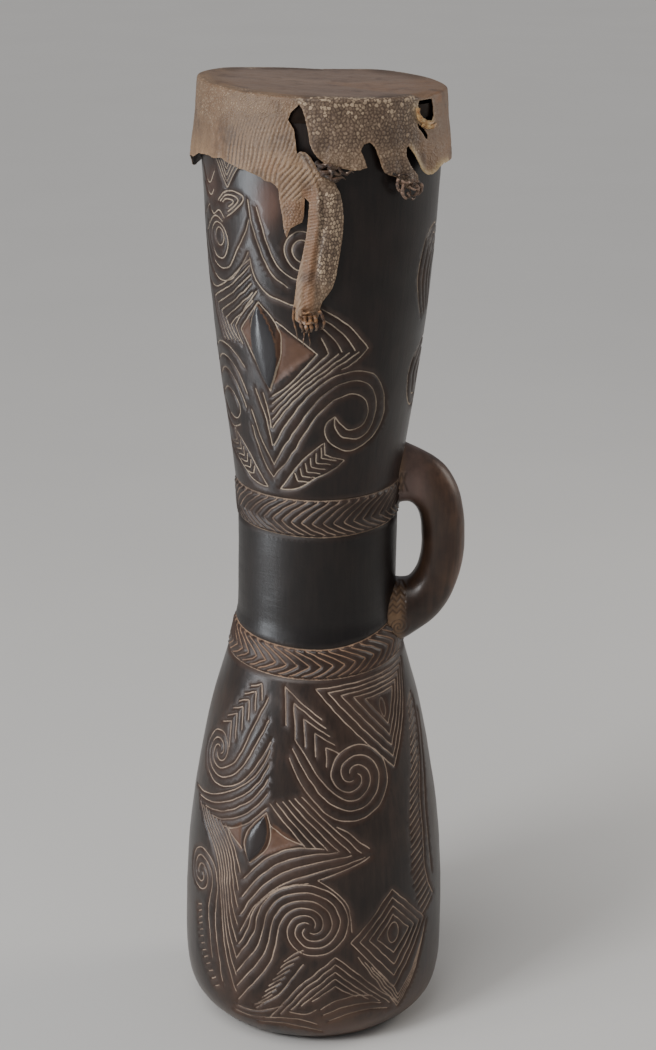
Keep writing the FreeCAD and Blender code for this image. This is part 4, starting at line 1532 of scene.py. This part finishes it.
foot_toes = digits("torn_foot_toes", [
    (1.2, [(34.4, 667, 2.2), (33.4, 663.2, 3.8), (34.6, 659.8, 4.2), (37, 660.2, 4.2),
           (37.8, 663.2, 3.4)]),
    (1.3, [(36.8, 663.6, 3.2), (35.6, 659.2, 5), (36.8, 655.2, 4.8), (39.4, 654, 4), (41.2, 656.4, 3.2),
           (40.4, 659.8, 3)]),
    (1.2, [(41, 663.4, 3.8), (43.4, 661.2, 5.6), (44, 657.2, 5.4), (42.2, 654.6, 4.6), (40.2, 656.2, 4)]),
    (1.3, [(44, 664, 3.6), (46.2, 661.4, 5), (46.6, 657.8, 4.6), (44.8, 654.8, 3.8), (43, 655.8, 3)]),
    (0.9, [(38.2, 657.8, 5.4), (40.2, 653.6, 5.6), (42.6, 652.4, 4.6), (44.2, 653.8, 3.6)]),
    (0.9, [(35.2, 666.2, 4.2), (38.4, 664.8, 5.4), (41.2, 666, 5.2), (43.6, 663.6, 4.6),
           (45.8, 664.6, 3.4)]),
    (0.7, [(38.8, 662, 5.6), (41.6, 659.4, 6.6), (44.8, 660.2, 5.8), (46.8, 663, 4.4)])], FOOT_END)
shreds = digits("torn_shreds", [
    (1.7, [(-2, 681, 0.6), (0.2, 678.4, 2), (3, 679, 2.4), (6, 676.8, 2.2), (8.6, 678, 1)]),
    (1.9, [(-1, 677.2, 0.6), (1.2, 673.8, 2.2), (4.4, 675, 2.8), (7.4, 672.6, 2.4), (9.8, 674.4, 1.2)]),
    (1.6, [(0.2, 672.4, 1), (3, 671.6, 2.6), (5.8, 669.8, 2.8), (8.8, 670.8, 2), (10.6, 668.8, 0.8)]),
    (1.3, [(3.2, 677.6, 1.4), (4.8, 673.8, 3.4), (4.2, 670.4, 3.2), (6.2, 668, 2.2), (8.4, 669.4, 1)]),
    (1.2, [(7.4, 677.4, 0.8), (8.6, 674.2, 2), (10.8, 673, 1.8), (12.8, 674.6, 1), (14.2, 673.2, 0.4)]),
    (0.9, [(32, 671.4, 0.6), (34.6, 669.8, 1.8), (37.4, 670.4, 2.2), (40.4, 668.4, 2.2),
           (43, 669.2, 1.2)])], SHRED)
fold = digits("yellow_lip", [
    (1.8, [(47, 712, 0.2), (47.2, 707.4, 0.8), (49.4, 703.6, 1.3), (52.8, 701.4, 1.6), (56.2, 701.2, 1.2),
           (59.8, 702, 0.2)]),
    (1.7, [(49.6, 701.6, 0.4), (53, 699.4, 1.5), (57, 699, 1.6), (61.4, 700.4, 0.4)])], FOLD)
for obj, node in ((head, "head_skin"), (leg, "long_leg_skin"), (lobe, "short_leg_skin"),
                  (foot, "torn_foot_skin")):
    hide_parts(node)


def on_skin(angle, z):
    """A point of the skin in metres."""
    return tuple(skin_place(np.array([angle]), np.array([z]))[0] * MM)


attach(head, "drum")
on_skin(2, 668)
on_skin(2, 646)
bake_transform(leg)
on_skin(-13, 658)
on_skin(-13, 646)
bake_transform(lobe)
on_skin(38, 671)
on_skin(38, 663)
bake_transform(foot)
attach(leg_toes, "long_leg")
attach(foot_toes, "torn_foot")
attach(shreds, "drum")
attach(fold, "drum")

# ------------------------------------------------------------------ the handle and the resin ring

# (x, height, direction in degrees below +X, half thickness, half width) along the bow
HANDLE_STATIONS = [(50, 436, 0, 27, 19), (60, 434.6, 3, 23.8, 16.8), (68, 432.8, 12, 21.4, 15.4),
                   (83.5, 424, 45, 18.6, 16), (92.8, 403, 76, 16.4, 17), (94.5, 380, 90, 16.1, 17),
                   (91.6, 359, 106, 16.2, 17.5), (82.5, 340, 137, 17.5, 19), (71, 330.5, 164, 20.5, 22),
                   (61, 326.5, 176, 24, 25.5), (50, 325, 182, 27, 30)]
HANDLE_ROWS, HANDLE_COLUMNS = 300, 150


def handle_lines():
    """Cuts on the handle's front flank, as (x, height): a scroll under zigzags at the lower
    root, and crossing strokes at the upper root."""
    t = np.linspace(0, 1, 40)
    curl = [np.column_stack([62 + way * (1 + 6.5 * t) * np.cos(7.5 * t),
                             320 + way * (1 + 8 * t) * np.sin(7.5 * t)]) for way in (1, -1)]
    zigzag = [bent(*((54 + 3 * k, 331 + 3 * (k % 2) + 4.2 * i) for k in range(5))) for i in range(5)]
    strokes = [bent((top + 3.4 * i, 438), (foot + 3.4 * i, 423))
               for top, foot in ((55, 59), (58, 54)) for i in range(3)]
    return curl + zigzag + strokes + [flow((53, 306), (53, 328), (54, 352))]


def handle_piece(material):
    """The bow carved from the log: oval sections that spread where they meet the drum."""
    stations = cubic(HANDLE_STATIONS, 0.4)
    run = np.concatenate([[0], np.cumsum(np.hypot(np.diff(stations[:, 0]), np.diff(stations[:, 1])))])
    even = np.linspace(0, run[-1], HANDLE_ROWS)
    x, z, turn, thick, wide = (np.interp(even, run, stations[:, k]) for k in range(5))
    around_it = np.linspace(0, 2 * np.pi, HANDLE_COLUMNS, endpoint=False)
    c = np.sign(np.cos(around_it)) * np.abs(np.cos(around_it)) ** 0.9
    d = np.sign(np.sin(around_it)) * np.abs(np.sin(around_it)) ** 0.9
    out_x, out_z = np.sin(np.radians(turn)), np.cos(np.radians(turn))
    verts = np.stack([x[:, None] + out_x[:, None] * thick[:, None] * c,
                      wide[:, None] * d * np.ones((HANDLE_ROWS, 1)),
                      z[:, None] + out_z[:, None] * thick[:, None] * c], axis=-1).reshape(-1, 3)
    middle = np.repeat(np.column_stack([x, np.zeros(HANDLE_ROWS), z]), HANDLE_COLUMNS, axis=0)
    outward = verts - middle
    outward /= np.linalg.norm(outward, axis=1)[:, None]
    tree = tree_of([(px, 0, pz) for line in handle_lines() for px, pz in line])
    front = bell(outward[:, 1] * -4)
    gap = np.where(front > 0.5, [tree.find((px, 0, pz))[2] for px, _, pz in verts], FAR)
    cut = np.clip(1 - gap / 1.3, 0, 1) * front
    uneven = waviness(verts, 21.0, 1.0) * 0.55 + waviness(verts, 7.0, 5.0) * 0.14
    verts = verts + outward * (uneven - 0.9 * cut)[:, None]
    low = bell((352 - verts[:, 2]) / 8) * bell((69 - verts[:, 0]) / 8)
    high = bell((verts[:, 2] - 421) / 5) * bell((66 - verts[:, 0]) / 5) * 0.7
    # A painted highlight: the upper root is lightened to pinkish brown as if light caught it
    wear_and_painted_highlight = bell((verts[:, 2] - 404) / 20) * bell((88 - verts[:, 0]) / 16)
    # inside carries painted shade: the side of the bow that faces the drum, which the drum shades
    marks = {"cut": gap, "gold": np.maximum(low, high) * front, "wear_and_painted_highlight": wear_and_painted_highlight,
             "inside": np.tile(bell(1 - c), HANDLE_ROWS)}
    return mesh_object("handle_bow", verts, tube_faces(HANDLE_ROWS, HANDLE_COLUMNS), marks, material)


def handle_wood():
    """Brown wood polished by hands, with a bare golden patch where it is carved."""
    n = Nodes("handle_wood")
    grain = n.noise(260, 6, (1, 1, 0.12))
    patches = n.noise(24, 5)
    wood = n.mix(n.rise(patches, 0.35, 0.66), (0.034, 0.018, 0.012),
                 (0.118, 0.060, 0.035))
    wood = n.mix(n.ramp(grain, (0.3, 0.6), (0.62, 0.0)), wood, (0.010, 0.006, 0.004))
    # Painted shade: the side of the bow that faces the drum is darkened
    wood = n.mix(n.times(n.attribute("inside"), 0.55), wood, (0.012, 0.008, 0.006))
    # Painted highlight: pinkish brown on the upper root
    wood = n.mix(n.times(n.attribute("wear_and_painted_highlight"), n.ramp(patches, (0.36, 0.15), (0.62, 0.7))), wood,
                 (0.165, 0.105, 0.088))
    gold = n.mix(n.noise(160, 4), (0.10, 0.055, 0.028), (0.25, 0.15, 0.078))
    wood = n.mix(n.times(n.attribute("gold"), n.ramp(patches, (0.25, 0.6), (0.6, 1.0))), wood, gold)
    dark_cut = n.ramp(n.attribute("cut"), (0.25, 1.0), (1.0, 0.0), ease="EASE")
    wood = n.mix(n.times(dark_cut, 0.6), wood, (0.035, 0.018, 0.011))
    rough = n.plus(n.ramp(patches, (0.3, 0.30), (0.7, 0.42)), n.times(n.attribute("gold"), 0.15))
    relief = n.plus(n.times(grain, 0.7), n.times(n.noise(800, 3), 0.3))
    return n.finish(Base_Color=wood, Roughness=rough, Normal=n.bump(relief, 0.35, 0.0004),
                    Specular_IOR_Level=0.42)


def resin():
    """Old tree resin between the rim and the skin: dark of its own, and made near black as painted shade
    where it shows through the holes and the slit.
    """
    n = Nodes("resin")
    tone = n.mix(n.noise(180, 4), (0.006, 0.004, 0.003), (0.022, 0.012, 0.007))
    rough = n.ramp(n.noise(90, 3), (0.3, 0.45), (0.7, 0.75))
    return n.finish(Base_Color=tone, Specular_IOR_Level=0.08, Roughness=rough,
                    Normal=n.bump(n.noise(260, 4), 0.5, 0.0006))


handle = handle_piece(handle_wood())
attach(handle, "drum")
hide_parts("handle")
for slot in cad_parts["rim_glue"].material_slots:
    slot.material = resin()

# ------------------------------------------------------------------ floor, light and camera

CAMERA_AT = (0.0078, -1.764, 0.965)
CAMERA_DOWN, CAMERA_ROLL = math.radians(18), math.radians(0.69)
VIEW_TALL = math.radians(24)       # the angle that the picture's height takes in
SENSOR = 36


def area_light(name, at, target, wide, tall, power, color):
    lamp = bpy.data.lights.new(name, "AREA")
    lamp.shape, lamp.size, lamp.size_y = "RECTANGLE", wide, tall
    lamp.energy, lamp.color = power, color
    obj = placed(name, lamp)
    obj.location = at
    obj.rotation_euler = (Vector(target) - Vector(at)).to_track_quat("-Z", "Y").to_euler()
    return obj


def studio():
    mesh = bpy.data.meshes.new("floor")
    mesh.from_pydata([(-9, -9, 0), (9, -9, 0), (9, 16, 0), (-9, 16, 0)], [], [(0, 1, 2, 3)])
    floor = placed("floor", mesh)
    n = Nodes("floor_paint")
    tone = n.mix(n.noise(3, 3), (0.60, 0.59, 0.57), (0.64, 0.63, 0.61))
    floor.data.materials.append(n.finish(Base_Color=tone, Roughness=0.85))
    sky = bpy.data.lights.new("sky", "SUN")
    sky.energy, sky.angle, sky.color = 1.5, math.radians(50), (1.0, 0.98, 0.96)
    placed("sky", sky).rotation_euler = Vector((0.45, 0.55, -1)).to_track_quat("-Z", "Y").to_euler()
    area_light("key", (-1.35, -1.35, 1.45), (0, 0, 0.45), 0.6, 0.6, 26, (0.98, 0.99, 1))
    strip = area_light("strip", (-1.15, -0.40, 0.36), (0, 0, 0.42), 0.35, 0.66, 10, (0.90, 0.95, 1))
    strip.visible_diffuse = False
    area_light("edge", (1.5, 0.5, 1.0), (0, 0, 0.42), 0.6, 0.9, 9, (1, 0.95, 0.88))
    world = bpy.data.worlds.new("studio")
    world.use_nodes = True
    background = world.node_tree.nodes["Background"].inputs
    background["Color"].default_value = (0.95, 0.96, 1, 1)
    background["Strength"].default_value = 0.28
    bpy.context.scene.world = world


def camera():
    """Looks down at the drum from the front, with a hair of roll."""
    lens = bpy.data.cameras.new("camera")
    lens.sensor_fit, lens.sensor_height, lens.sensor_width = "VERTICAL", SENSOR, SENSOR
    lens.lens = SENSOR / 2 / math.tan(VIEW_TALL / 2)
    obj = placed("camera", lens)
    obj.location = CAMERA_AT
    obj.rotation_mode = "QUATERNION"
    aim = Vector((0, math.cos(CAMERA_DOWN), -math.sin(CAMERA_DOWN)))
    obj.rotation_quaternion = aim.to_track_quat("-Z", "Y") @ Quaternion((0, 0, 1), CAMERA_ROLL)
    bpy.context.scene.camera = obj


studio()
camera()
